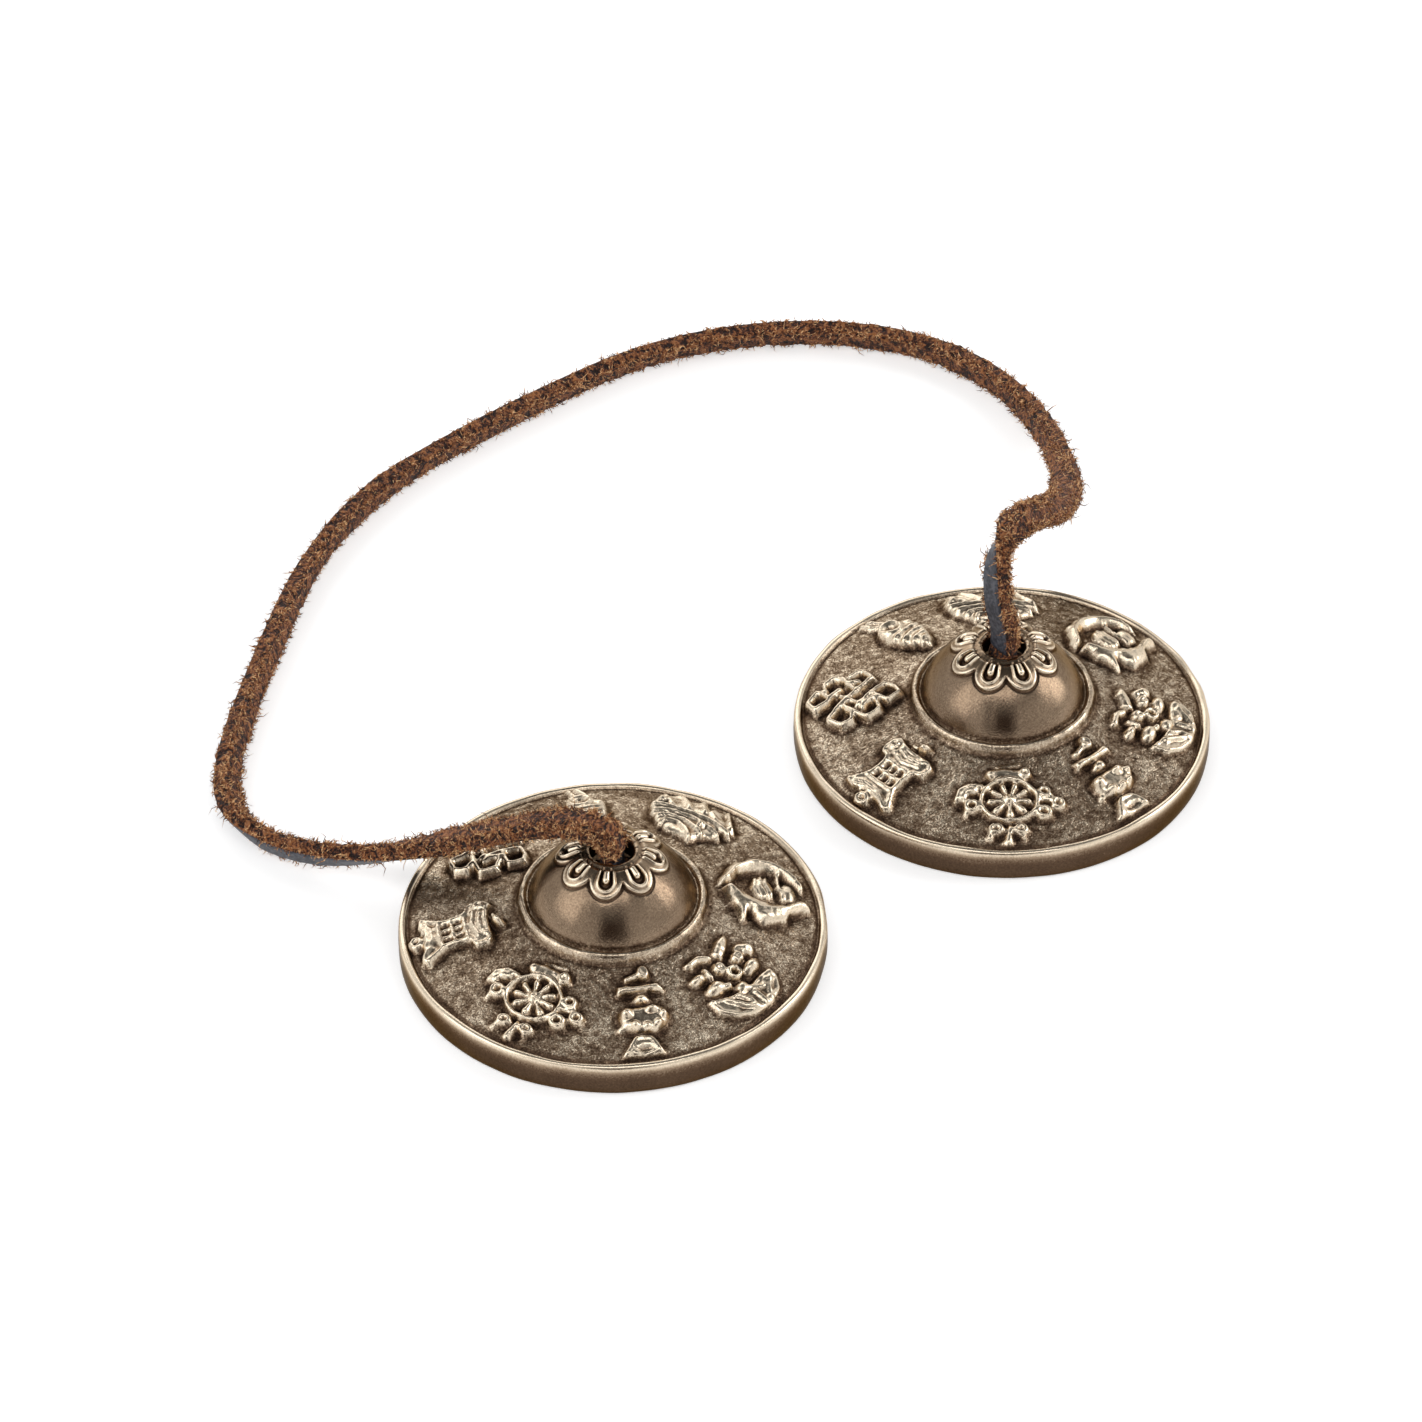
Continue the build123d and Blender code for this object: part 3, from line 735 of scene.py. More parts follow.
    def spin(self, rows: Sequence[Row]) -> bpy.types.Mesh:
        """Turns the outline into a closed mesh whose vertices know their ring.

        Args:
            rows: The casting's rings.

        Returns:
            A mesh in metres with its axis on Z.
        """
        shape = bmesh.new()
        ring = shape.verts.layers.int.new("ring")
        verts = []
        for index, row in enumerate(rows):
            vert = shape.verts.new((row.radius * MM, 0.0, row.height * MM))
            vert[ring] = index
            verts.append(vert)
        edges = [shape.edges.new(pair) for pair in zip(verts, verts[1:] + verts[:1])]
        bmesh.ops.spin(
            shape,
            geom=verts + edges,
            cent=(0, 0, 0),
            axis=(0, 0, 1),
            angle=FULL_TURN,
            steps=self.steps,
            use_merge=True,
        )
        bmesh.ops.recalc_face_normals(shape, faces=shape.faces[:])
        mesh = bpy.data.meshes.new(self.name)
        shape.to_mesh(mesh)
        shape.free()
        return mesh

    def petal_heights(self, row: Row, bearing: np.ndarray) -> np.ndarray:
        """Height of the lotus petals round one ring of the dome.

        Args:
            row: The ring.
            bearing: Angles round the ring, in radians.

        Returns:
            Heights in millimetres.
        """
        half = math.pi / self.petals
        swing = (bearing - math.radians(self.petal_turn) + half) % (2 * half) - half
        across = np.abs(row.radius * np.sin(swing))
        tilt = math.asin(min(row.radius / self.dome_radius, 1.0))
        along = self.dome_radius * (tilt - math.asin(self.mouth_radius / self.dome_radius))
        past = along - self.petal_shoulder
        tip = self.petal_length - self.petal_shoulder
        depth = row.radius * math.tan(half) - across if past <= 0 else tip - np.hypot(past, across)
        waist, widening = self.petal_waist
        spread = min(waist + widening * along / self.petal_shoulder, 1.0)
        from_axis = np.hypot(max(past, 0.0), across) / spread
        petal = np.interp(from_axis, PETAL_SPANS, PETAL_HEIGHTS)
        from_tongue = np.hypot(max(past + self.tongue_gap, 0.0), across) / spread
        petal = np.maximum(petal, self.tongue_height * bead_share(from_tongue, self.tongue_half))
        apart = np.clip(along - self.petal_parting, 0, 1)
        border = PETAL_EDGE_HEIGHTS[-1]
        edge = border + apart * (np.interp(depth, PETAL_EDGE_DEPTHS, PETAL_EDGE_HEIGHTS) - border)
        root = np.clip(along / self.petal_root, 0, 1)
        return root * np.where(depth < PETAL_EDGE_DEPTHS[-1], edge, petal)

    def relief(self, rows: Sequence[Row]) -> np.ndarray:
        """Carved height over every ring and step.

        Args:
            rows: The casting's rings.

        Returns:
            Heights in millimetres, one row for each ring.
        """
        bearing = np.arange(self.steps) * FULL_TURN / self.steps
        grid = np.zeros((len(rows), self.steps))
        for index, row in enumerate(rows):
            if row.zone is Zone.DOME:
                grid[index] = self.petal_heights(row, bearing)
        field = [index for index, row in enumerate(rows) if row.zone is Zone.FIELD]
        radius = np.array([rows[index].radius for index in field])
        (edge_radius, edge_height), (top_radius, top_height) = self.field_edge, self.field_top
        slope = math.hypot(1.0, (top_height - edge_height) / (edge_radius - top_radius))
        up = (self.symbol_radius - radius)[:, None] * slope * np.ones(self.steps)
        for symbol in self.symbols:
            swing = (bearing - math.radians(symbol.bearing) + math.pi) % FULL_TURN - math.pi
            across = np.ones(len(field))[:, None] * swing * self.symbol_radius
            near = np.abs(swing) * self.symbol_radius < self.symbol_reach
            height = symbol.height_over(across[:, near], up[:, near])
            grid[np.ix_(field, np.flatnonzero(near))] += self.relief_gain * height
        # The symbols stand lower towards their edges, as the mould's carver rounded them
        stands = (grid[field] > self.symbol_floor).astype(float)
        inside = spread_out(stands, radius, self.symbol_rounding, self.symbol_ring_gap)
        grid[field] *= self.symbol_edge + self.symbol_back * inside
        return grid

    def grains(self, rows: Sequence[Row]) -> np.ndarray:
        """Sandiness of each ring.

        Args:
            rows: The casting's rings.

        Returns:
            One column of values.
        """
        grain = np.array([SKINS[row.zone].grain for row in rows])[:, None]
        for groove in self.grooves:
            grain[[groove.holds(row) for row in rows]] = groove.grain
        return grain

    def cast_skin(self, rows: Sequence[Row], grain: np.ndarray) -> tuple[np.ndarray, np.ndarray]:
        """Sand on the cast skin and the wavers of its shape, over every ring and step.

        Args:
            rows: The casting's rings.
            grain: Sandiness of each ring.

        Returns:
            The sand, and the wavers before each zone's share of them.
        """
        rng = np.random.default_rng(self.seed)
        size = (len(rows), self.steps)
        radius = np.array([row.radius for row in rows])
        sand = spread_out(rng.normal(size=size), radius, self.look.sand_reach, self.look.sand_gap)
        sand *= grain**2 / sand.std()
        sand[[row.zone is Zone.UNDER for row in rows]] = 0.0
        swell = soften(rng.normal(size=size), self.look.swell_passes)
        return sand, swell / swell.std()

    def patina_and_shade(
        self, rows: Sequence[Row], carving: np.ndarray, sand: np.ndarray, raised: np.ndarray
    ) -> np.ndarray:
        """Patina over every ring and step, with painted shade in the hollows round the relief: dark in
        hollows and grooves, thin on what stands out.

        Args:
            rows: The casting's rings.
            carving: Carved heights.
            sand: Sand on the cast skin.
            raised: How far each point stands out, from 0 to 1.

        Returns:
            Darkness from 0 to 1.
        """
        look = self.look
        radius = np.array([row.radius for row in rows])
        wide_hollow = spread_out(carving, radius, look.wide_reach, look.hollow_gap) - carving
        fine_hollow = spread_out(carving, radius, look.fine_reach, look.hollow_gap) - carving
        patina_and_shade = np.array([SKINS[row.zone].patina for row in rows])[:, None]
        # Hollows round the relief are darkened: partly patina, partly painted shade at its feet and in its
        # recesses
        patina_and_shade = patina_and_shade + look.wide_patina_and_shade * np.clip(wide_hollow, *look.wide_limits)
        patina_and_shade = patina_and_shade + look.fine_patina_and_shade * np.clip(fine_hollow, *look.fine_limits)
        patina_and_shade = patina_and_shade - look.sand_patina * sand
        for groove in self.grooves:
            patina_and_shade[[groove.holds(row) for row in rows]] += groove.patina
        return np.clip(soften(patina_and_shade - look.raised_patina * raised, 1), 0, 1)

    def carve(self, mesh: bpy.types.Mesh, rows: Sequence[Row]) -> None:
        """Raises the carving and the cast skin on a spun casting, and keeps on each vertex its patina, with
        painted shade in the hollows.

        Args:
            mesh: The spun casting.
            rows: The rings that it was spun from.
        """
        look = self.look
        ring_radius = np.array([row.radius for row in rows])
        ring_height = np.array([row.height for row in rows])
        carving = soften(self.relief(rows), 1)
        grain = self.grains(rows)
        sand, swell = self.cast_skin(rows, grain)
        waver = np.array([SKINS[row.zone].waver for row in rows])[:, None]
        height = carving + look.sand_height * sand + look.swell_share * waver * swell
        run_out = np.roll(ring_radius, -1) - np.roll(ring_radius, 1)
        run_up = np.roll(ring_height, -1) - np.roll(ring_height, 1)
        length = np.hypot(run_out, run_up)
        out, up = -run_up / length, run_out / length

        count = len(mesh.vertices)
        place = np.empty(count * 3)
        mesh.vertices.foreach_get("co", place)
        place = place.reshape(count, 3)
        ring = np.empty(count, dtype=np.int32)
        mesh.attributes["ring"].data.foreach_get("value", ring)
        bearing = np.arctan2(place[:, 1], place[:, 0])
        step = np.round(bearing / FULL_TURN * self.steps).astype(int) % self.steps
        lift = np.where(ring_height[ring] <= 0.0, 0.0, height[ring, step])
        new_radius = (ring_radius[ring] + lift * out[ring]) * MM
        new_height = np.maximum((ring_height[ring] + lift * up[ring]) * MM, 0.0)
        angle = bearing + math.radians(self.turn)
        placed = np.column_stack(
            (self.centre_x * MM + new_radius * np.cos(angle), new_radius * np.sin(angle), new_height)
        )
        mesh.vertices.foreach_set("co", placed.ravel())

        raised = np.clip((carving - look.raised_from) / look.raised_over, 0, 1)
        # The darkness kept here is patina plus painted shade in the hollows round the relief
        self.keep(mesh, "patina", self.patina_and_shade(rows, carving, sand, raised)[ring, step])
        self.keep(mesh, "grain", (grain * (1 - look.raised_polish * raised))[ring, step])
        mesh.update()

    def keep(self, mesh: bpy.types.Mesh, name: str, values: np.ndarray) -> None:
        """Stores one number for each vertex under a name that the finish reads."""
        layer = mesh.attributes.new(name, "FLOAT", "POINT")
        layer.data.foreach_set("value", np.ascontiguousarray(values, dtype=np.float32))

    def build(self, finish: bpy.types.Material) -> bpy.types.Object:
        """Makes the casting, dresses it and puts it on its body.

        Args:
            finish: The bell metal.

        Returns:
            The finished piece.
        """
        rows = self.outline()
        mesh = self.spin(rows)
        self.carve(mesh, rows)
        piece = show(f"{self.name}_casting", mesh, finish)
        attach(piece, self.body)
        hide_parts(self.name)
        return piece


@dataclass(frozen=True)
class Station:
    """A point of the lace's route in metres, and the way that its flesh side faces there, in degrees."""

    x: float
    y: float
    z: float
    around: float
    up: float

    @property
    def flesh(self) -> Vector:
        """Unit vector that the flesh side faces along."""
        around, up = math.radians(self.around), math.radians(self.up)
        return Vector((math.cos(around) * math.cos(up), math.sin(around) * math.cos(up), math.sin(up)))


def stations(*rows: tuple[float, ...]) -> tuple[Station, ...]:
    """Route from rows of x, y and z, and the bearing and rise of the flesh side."""
    return tuple(Station(*row) for row in rows)


THONG_ROUTE = stations(
    (-0.0384, -0.0002, 0.0201, -58, 0), (-0.0383, -0.0003, 0.0220, -58, 30),
    (-0.0400, 0.0022, 0.0239, -58, 75), (-0.0430, 0.0072, 0.0228, -58, 85),
    (-0.0466, 0.0146, 0.0184, -58, 82), (-0.0516, 0.0238, 0.0122, -30, 86),
    (-0.0575, 0.0330, 0.0066, 30, 52), (-0.0636, 0.0420, 0.0036, 25, 29),
    (-0.0676, 0.0510, 0.0029, 10, 25), (-0.0670, 0.0605, 0.0028, -21, 42),
    (-0.0605, 0.0695, 0.0028, -43, 20), (-0.0495, 0.0792, 0.0028, -50, 14),
    (-0.0360, 0.0902, 0.0028, -50, 10), (-0.0210, 0.1015, 0.0028, -58, -5),
    (-0.0040, 0.1090, 0.0029, -75, -10), (0.0150, 0.1112, 0.0029, -88, -20),
    (0.0340, 0.1116, 0.0029, -90, -23), (0.0520, 0.1110, 0.0029, -99, -25),
    (0.0685, 0.1058, 0.0029, -115, -26), (0.0830, 0.0960, 0.0029, -133, -22),
    (0.0930, 0.0828, 0.0028, -155, -14), (0.0960, 0.0680, 0.0030, 180, -4),
    (0.0930, 0.0530, 0.0038, 157, 4), (0.0840, 0.0380, 0.0085, 134, 22),
    (0.0720, 0.0240, 0.0176, 62, 60), (0.0600, 0.0136, 0.0276, -30, 31),
    (0.0516, 0.0086, 0.0342, -46, 25), (0.0450, 0.0054, 0.0378, -55, 38),
    (0.0404, 0.0036, 0.0370, -24, 8), (0.0382, 0.0022, 0.0326, -3, 5),
    (0.0378, 0.0008, 0.0272, 1, 0), (0.0385, 0.0, 0.0234, -2, 0),
    (0.0385, 0.0, 0.0201, -7, 0),
)

KNOT_ROUTE = stations(
    (0.0, 0.0, 0.0184, 90, 0), (0.0, 0.0, 0.0160, 90, 0),
    (0.0012, 0.0008, 0.0145, 60, 20), (0.0030, 0.0020, 0.0132, 30, 20),
    (0.0016, 0.0034, 0.0116, 65, -10), (-0.0016, 0.0032, 0.0106, 115, -20),
    (-0.0035, 0.0008, 0.0114, 170, 0), (-0.0030, -0.0022, 0.0134, 215, 20),
    (-0.0002, -0.0034, 0.0146, 270, 30), (0.0028, -0.0024, 0.0138, 320, 20),
    (0.0036, 0.0004, 0.0118, 0, -10), (0.0014, 0.0018, 0.0100, 60, -40),
    (-0.0010, 0.0004, 0.0096, 90, -60), (0.0012, -0.0012, 0.0102, 90, -70),
    (0.0046, -0.0008, 0.0106, 90, -80), (0.0076, 0.0002, 0.0104, 90, -80),
)


@dataclass(frozen=True)
class Section:
    """One place along a lace: its middle, its heading, and the ways that its width and flesh side face."""

    place: Vector
    heading: Vector
    width: Vector
    flesh: Vector
    swell: float = 1.0


@dataclass(frozen=True)
class Fuzz:
    """How loose fibres are drawn: limits where there are two values, and lengths in metres."""

    tries: int = 32000
    batch: int = 200
    end_gap: int = 4
    bare_below: Point = (-0.35, 0.3)
    flat_share: float = 0.85
    flat_lift: Point = (0.15, 0.6)
    raised_lift: Point = (0.6, 2.0)
    droop: Point = (0.0, 0.5)
    reach: Point = (0.0003, 0.0006)
    long_share: float = 0.05
    long_gain: float = 2.2
    thick: Point = (0.00006, 0.00011)
    waist: float = 0.8
    tip: float = 0.2
    sunk: float = 0.0001
    floor_gap: float = 0.0002


@dataclass
class Lace:
    """A flat leather lace along a route. Sizes are in metres."""

    name: str
    route: tuple[Station, ...]
    width: float = 0.0046
    thickness: float = 0.0027
    corners: int = 44
    squareness: float = 4.5
    nap: float = 0.00032
    grain_below: float = -0.8
    grain_nap: float = 0.15
    ragged_scale: float = 160.0
    ragged_start: tuple[float, float, float] = (3.1, 0.0, 0.0)
    ragged_share: float = 0.7
    tuft_scales: Point = (1200.0, 2400.0)
    fine_tufts: float = 0.7
    end_turns: tuple[int, ...] = (85, 65, 45, 22)
    density: int = 48
    bunch: float = 0.0
    bunch_reach: float = 0.006
    seed: int = 5

    def spline_points(self) -> list[Vector]:
        """Points read from the NURBS line that has the route's points as its control points.

        Returns:
            The points in order, in metres.
        """
        curve = bpy.data.curves.new(f"{self.name}_line", "CURVE")
        curve.dimensions = "3D"
        spline = curve.splines.new("NURBS")
        spline.points.add(len(self.route) - 1)
        for point, station in zip(spline.points, self.route):
            point.co = (station.x, station.y, station.z, 1.0)
        spline.order_u = 3
        spline.use_endpoint_u = True
        spline.resolution_u = self.density
        holder = bpy.data.objects.new(f"{self.name}_line", curve)
        bpy.context.scene.collection.objects.link(holder)
        bpy.context.view_layer.update()
        mesh = bpy.data.meshes.new_from_object(holder)
        points = [vert.co.copy() for vert in mesh.vertices]
        bpy.data.meshes.remove(mesh)
        bpy.data.objects.remove(holder)
        bpy.data.curves.remove(curve)
        return points

    def flesh_at(self, share: float) -> Vector:
        """Way that the flesh side faces at a share of the line's own parameter.

        Args:
            share: From 0 at the line's start to 1 at its end.

        Returns:
            The way between those of the two nearest stations.
        """
        last = len(self.route) - 1
        # The line runs halfway between its control points, and reaches only the first and last of them
        index = share * (last - 1) + 0.5
        index = 2 * index - 1 if index < 1 else min(index, last - 1)
        low = int(index)
        return self.route[low].flesh.lerp(self.route[low + 1].flesh, index - low)

    def sections(self) -> list[Section]:
        """Places along the line, each square to it and turned as the lace is turned there.

        Returns:
            The places in order.
        """
        points = self.spline_points()
        result = []
        for index, place in enumerate(points):
            before = points[max(index - 1, 0)]
            after = points[min(index + 1, len(points) - 1)]
            heading = (after - before).normalized()
            flesh = self.flesh_at(index / (len(points) - 1))
            flesh = (flesh - heading * flesh.dot(heading)).normalized()
            near = (place - points[0]).length / self.bunch_reach
            swell = 1 + self.bunch * math.exp(-(near**2))
            result.append(Section(place, heading, flesh.cross(heading), flesh, swell))
        return result

    def rounded_ends(self, sections: Sequence[Section]) -> list[tuple[Section, float]]:
        """Adds the lace's rounded ends to its sections.

        Args:
            sections: Places along the lace.

        Returns:
            All places in order, each with a share of the full thickness.
        """
        radius = self.thickness / 2
        first, last = sections[0], replace(sections[-1], swell=1.0)
        start, end = [], []
        for turn in map(math.radians, self.end_turns):
            for caps, section, way in ((start, first, -1), (end, last, 1)):
                place = section.place + section.heading * way * radius * math.sin(turn)
                caps.append((replace(section, place=place), math.cos(turn)))
        return start + [(section, 1.0) for section in sections] + end[::-1]

    def corner(self, index: int) -> Point:
        """Where one corner of the rounded section lies.

        Args:
            index: The corner's number.

        Returns:
            Shares of the half width and of the half thickness.
        """
        turn = FULL_TURN * (index + 0.5) / self.corners
        wide, thick = math.cos(turn), math.sin(turn)
        power = 2 / self.squareness
        return math.copysign(abs(wide) ** power, wide), math.copysign(abs(thick) ** power, thick)

    def on_grain(self, index: int) -> bool:
        """Whether a corner of the section lies on the smooth grain side."""
        return self.corner(index)[1] < self.grain_below

    def skin_point(self, section: Section, index: int, thin: float) -> Vector:
        """Point on the lace's skin, raised by its nap except on the grain side.

        Args:
            section: The place along the lace.
            index: The corner of the section.
            thin: Share of the full thickness.

        Returns:
            The point in metres.
        """
        wide, thick = self.corner(index)
        point = section.place + section.width * (wide * self.width / 2 * section.swell)
        point = point + section.flesh * (thick * thin * self.thickness / 2 * section.swell)
        away = (point - section.place).normalized()
        ragged = noise.noise(section.place * self.ragged_scale + Vector(self.ragged_start))
        share = self.grain_nap if self.on_grain(index) else 1.0
        point = point + away * self.nap * share * (self.tuft_at(point) + self.ragged_share * ragged)
        point.z = max(point.z, 0.0)
        return point

    def tuft_at(self, point: Vector) -> float:
        """How far the suede's tufts stand out at a point, from about -1 to 1."""
        coarse, fine = self.tuft_scales
        return noise.noise(point * coarse) + self.fine_tufts * noise.noise(point * fine)

    def build(self, flesh: bpy.types.Material, grain: bpy.types.Material) -> bpy.types.Object:
        """Rolls a grid into the lace's skin along its line.

        Args:
            flesh: Finish of the suede side and the cut edges.
            grain: Finish of the smooth side.

        Returns:
            The lace, not yet on a body.
        """
        stations = self.rounded_ends(self.sections())
        runs = len(stations) - 1
        shape = bmesh.new()
        tuft = shape.verts.layers.float.new("tuft")
        bmesh.ops.create_grid(shape, x_segments=runs, y_segments=self.corners, size=0.5)
        smooth_side = {index for index in range(self.corners) if self.on_grain(index)}
        for face in shape.faces:
            corners = {round((vert.co.y + 0.5) * self.corners) % self.corners for vert in face.verts}
            face.material_index = 1 if corners <= smooth_side else 0
        for vert in shape.verts:
            section, thin = stations[round((vert.co.x + 0.5) * runs)]
            index = round((vert.co.y + 0.5) * self.corners) % self.corners
            vert.co = self.skin_point(section, index, thin)
            vert[tuft] = self.tuft_at(vert.co)
        bmesh.ops.remove_doubles(shape, verts=shape.verts[:], dist=1e-7)
        open_edges = [edge for edge in shape.edges if edge.is_boundary]
        bmesh.ops.holes_fill(shape, edges=open_edges, sides=0)
        bmesh.ops.recalc_face_normals(shape, faces=shape.faces[:])
        mesh = bpy.data.meshes.new(self.name)
        shape.to_mesh(mesh)
        shape.free()
        return show(self.name, mesh, flesh, grain)

    def fibres(self, name: str, fuzz: Fuzz, finish: bpy.types.Material) -> bpy.types.Object:
        """Loose fibres that stand out of the suede side and the cut edges.

        Args:
            name: The piece's name.
            fuzz: How they are drawn.
            finish: Their finish.

        Returns:
            One mesh of thin tapered hairs, not yet on a body.
        """
        draw = random.Random(self.seed)
        sections = self.sections()
        mesh = bpy.data.meshes.new(name)
        total = bmesh.new()
        for first in range(0, fuzz.tries, fuzz.batch):
            shape = bmesh.new()
            for _ in range(min(fuzz.batch, fuzz.tries - first)):
                self.one_fibre(shape, draw, sections, fuzz)
            shape.to_mesh(mesh)
            shape.free()
            total.from_mesh(mesh)
        total.to_mesh(mesh)
        total.free()
        return show(name, mesh, finish)

    def one_fibre(
        self, shape: bmesh.types.BMesh, draw: random.Random, sections: Sequence[Section], fuzz: Fuzz
    ) -> None:
        """Lays one bent hair over a tuft at a drawn place, and leaves the pits between tufts bare.

        Args:
            shape: The mesh that takes the hair.
            draw: Where the random draws come from.
            sections: Places along the lace.
            fuzz: How the hair is drawn.
        """
        section = sections[draw.randrange(fuzz.end_gap, len(sections) - fuzz.end_gap)]
        index = draw.randrange(self.corners)
        root = self.skin_point(section, index, 1.0)
        if self.on_grain(index) or self.tuft_at(root) < draw.uniform(*fuzz.bare_below):
            return
        away = (root - section.place).normalized()
        aside = away.cross(section.heading)
        turn = draw.uniform(0, FULL_TURN)
        lift = draw.uniform(*(fuzz.flat_lift if draw.random() < fuzz.flat_share else fuzz.raised_lift))
        way = (section.heading * math.cos(turn) + aside * math.sin(turn) + away * lift).normalized()
        curl = section.heading * draw.uniform(-1, 1) + aside * draw.uniform(-1, 1)
        curl = curl - away * draw.uniform(*fuzz.droop)
        reach = draw.uniform(*fuzz.reach) * (fuzz.long_gain if draw.random() < fuzz.long_share else 1.0)
        middle = root + way * reach
        tip = middle + (way + curl).normalized() * reach
        if min(middle.z, tip.z) < fuzz.floor_gap:
            return
        thick = draw.uniform(*fuzz.thick)
        self.hair(shape, root - away * fuzz.sunk, middle, thick, thick * fuzz.waist)
        self.hair(shape, middle, tip, thick * fuzz.waist, thick * fuzz.tip)

    def hair(self, shape: bmesh.types.BMesh, start: Vector, end: Vector, thick: float, thin: float) -> None:
        """Adds one tapered length of hair between two points.

        Args:
            shape: The mesh that takes it.
            start: Where it starts.
            end: Where it ends.
            thick: Its radius at the start.
            thin: Its radius at the end.
        """
        way = end - start
        turned = way.to_track_quat("Z", "Y").to_matrix().to_4x4()
        bmesh.ops.create_cone(
            shape,
            cap_ends=False,
            segments=3,
            radius1=thick,
            radius2=thin,
            depth=way.length,
            matrix=Matrix.Translation((start + end) / 2) @ turned,
        )


class Graph:
    """Adds and joins nodes in one node tree."""

    def __init__(self, tree: bpy.types.NodeTree) -> None:
        """Keeps the tree.

        Args:
            tree: A material's, world's or group's tree.
        """
        self.tree = tree

    def add(self, kind: str, **settings: object) -> bpy.types.Node:
        """Adds a node.

        Args:
            kind: The node's type.
            settings: Its properties by name.

        Returns:
            The new node.
        """
        node = self.tree.nodes.new(kind)
        for name, value in settings.items():
            setattr(node, name, value)
        return node

    def join(self, start: bpy.types.NodeSocket, end: bpy.types.NodeSocket) -> None:
        """Link between two sockets."""
        self.tree.links.new(start, end)

    def maths(self, how: str, *values: Value) -> bpy.types.NodeSocket:
        """Adds a sum.

        Args:
            how: The operation.
            values: What it works on, each a socket or a number.

        Returns:
            The result.
        """
        node = self.add("ShaderNodeMath", operation=how)
        for socket, value in zip(node.inputs, values):
            if isinstance(value, bpy.types.NodeSocket):
                self.join(value, socket)
            else:
                socket.default_value = value
        return node.outputs[0]

    def kept(self, name: str) -> bpy.types.NodeSocket:
        """Number that the mesh keeps under a name."""
        return self.add("ShaderNodeAttribute", attribute_name=name).outputs["Fac"]

    def speckle(self, vector: bpy.types.NodeSocket, scale: float) -> bpy.types.NodeSocket:
        """Adds noise.

        Args:
            vector: Where the noise is read.
            scale: Its scale per metre.

        Returns:
            Values from 0 to 1.
        """
        node = self.add("ShaderNodeTexNoise")
        node.inputs["Scale"].default_value = scale
        node.inputs["Detail"].default_value = 4.0
        self.join(vector, node.inputs["Vector"])
        return node.outputs["Fac"]

    def uneven(
        self, mottle: bpy.types.NodeTree, vector: bpy.types.NodeSocket, *values: float
    ) -> bpy.types.NodeSocket:
        """Uneven shading from the shared group.

        Args:
            mottle: The shared group.
            vector: Where the shading is read.
            values: The group's coarse scale, fine scale and fine share.

        Returns:
            The shading, about 0.5.
        """
        node = self.add("ShaderNodeGroup", node_tree=mottle)
        for name, value in zip(MOTTLE_INPUTS, values):
            node.inputs[name].default_value = value
        self.join(vector, node.inputs["Vector"])
        return node.outputs["Value"]

    def ramp(
        self, value: bpy.types.NodeSocket, stops: Sequence[tuple[float, Colour]]
    ) -> bpy.types.NodeSocket:
        """Adds a colour ramp.

        Args:
            value: What runs along the ramp.
            stops: Each stop's place and colour.

        Returns:
            The colour.
        """
        node = self.add("ShaderNodeValToRGB")
        elements = node.color_ramp.elements
        while len(elements) < len(stops):
            elements.new(0.5)
        for element, (position, colour) in zip(elements, stops):
            element.position = position
            element.color = colour
        self.join(value, node.inputs["Fac"])
        return node.outputs["Color"]

    def raise_by(self, height: bpy.types.NodeSocket, depth: float, shader: bpy.types.Node) -> bpy.types.Node:
        """Adds a bump under a shader.

        Args:
            height: What raises the surface.
            depth: How far, in metres.
            shader: The shader that takes it.

        Returns:
            The bump, whose strength can still be joined.
        """
        node = self.add("ShaderNodeBump")
        node.inputs["Distance"].default_value = depth
        self.join(height, node.inputs["Height"])
        self.join(node.outputs["Normal"], shader.inputs["Normal"])
        return node


def new_finish(name: str) -> tuple[bpy.types.Material, Graph, bpy.types.Node]:
    """Starts a material.

    Args:
        name: The material's name.

    Returns:
        The material, its graph and its shader.
    """
    material = bpy.data.materials.new(name)
    material.use_nodes = True
    return material, Graph(material.node_tree), material.node_tree.nodes["Principled BSDF"]


def mottle_group() -> bpy.types.NodeTree:
    """Group that gives the uneven shading of a worked surface at a coarse and a fine scale.

    Returns:
        The group's tree.
    """
    tree = bpy.data.node_groups.new("mottle", "ShaderNodeTree")
    tree.interface.new_socket("Vector", in_out="INPUT", socket_type="NodeSocketVector")
    for name in MOTTLE_INPUTS:
        tree.interface.new_socket(name, in_out="INPUT", socket_type="NodeSocketFloat")
    tree.interface.new_socket("Value", in_out="OUTPUT", socket_type="NodeSocketFloat")
    graph = Graph(tree)
    inputs = graph.add("NodeGroupInput")
    outputs = graph.add("NodeGroupOutput")
    mix = graph.add("ShaderNodeMix", data_type="FLOAT")
    for socket, scale in zip(mix.inputs[2:4], MOTTLE_INPUTS):
        node = graph.add("ShaderNodeTexNoise")
        node.inputs["Detail"].default_value = 5.0
        node.inputs["Roughness"].default_value = 0.6
        graph.join(inputs.outputs["Vector"], node.inputs["Vector"])
        graph.join(inputs.outputs[scale], node.inputs["Scale"])
        graph.join(node.outputs["Fac"], socket)
    graph.join(inputs.outputs["Fine share"], mix.inputs[0])
    graph.join(mix.outputs[0], outputs.inputs["Value"])
    return tree


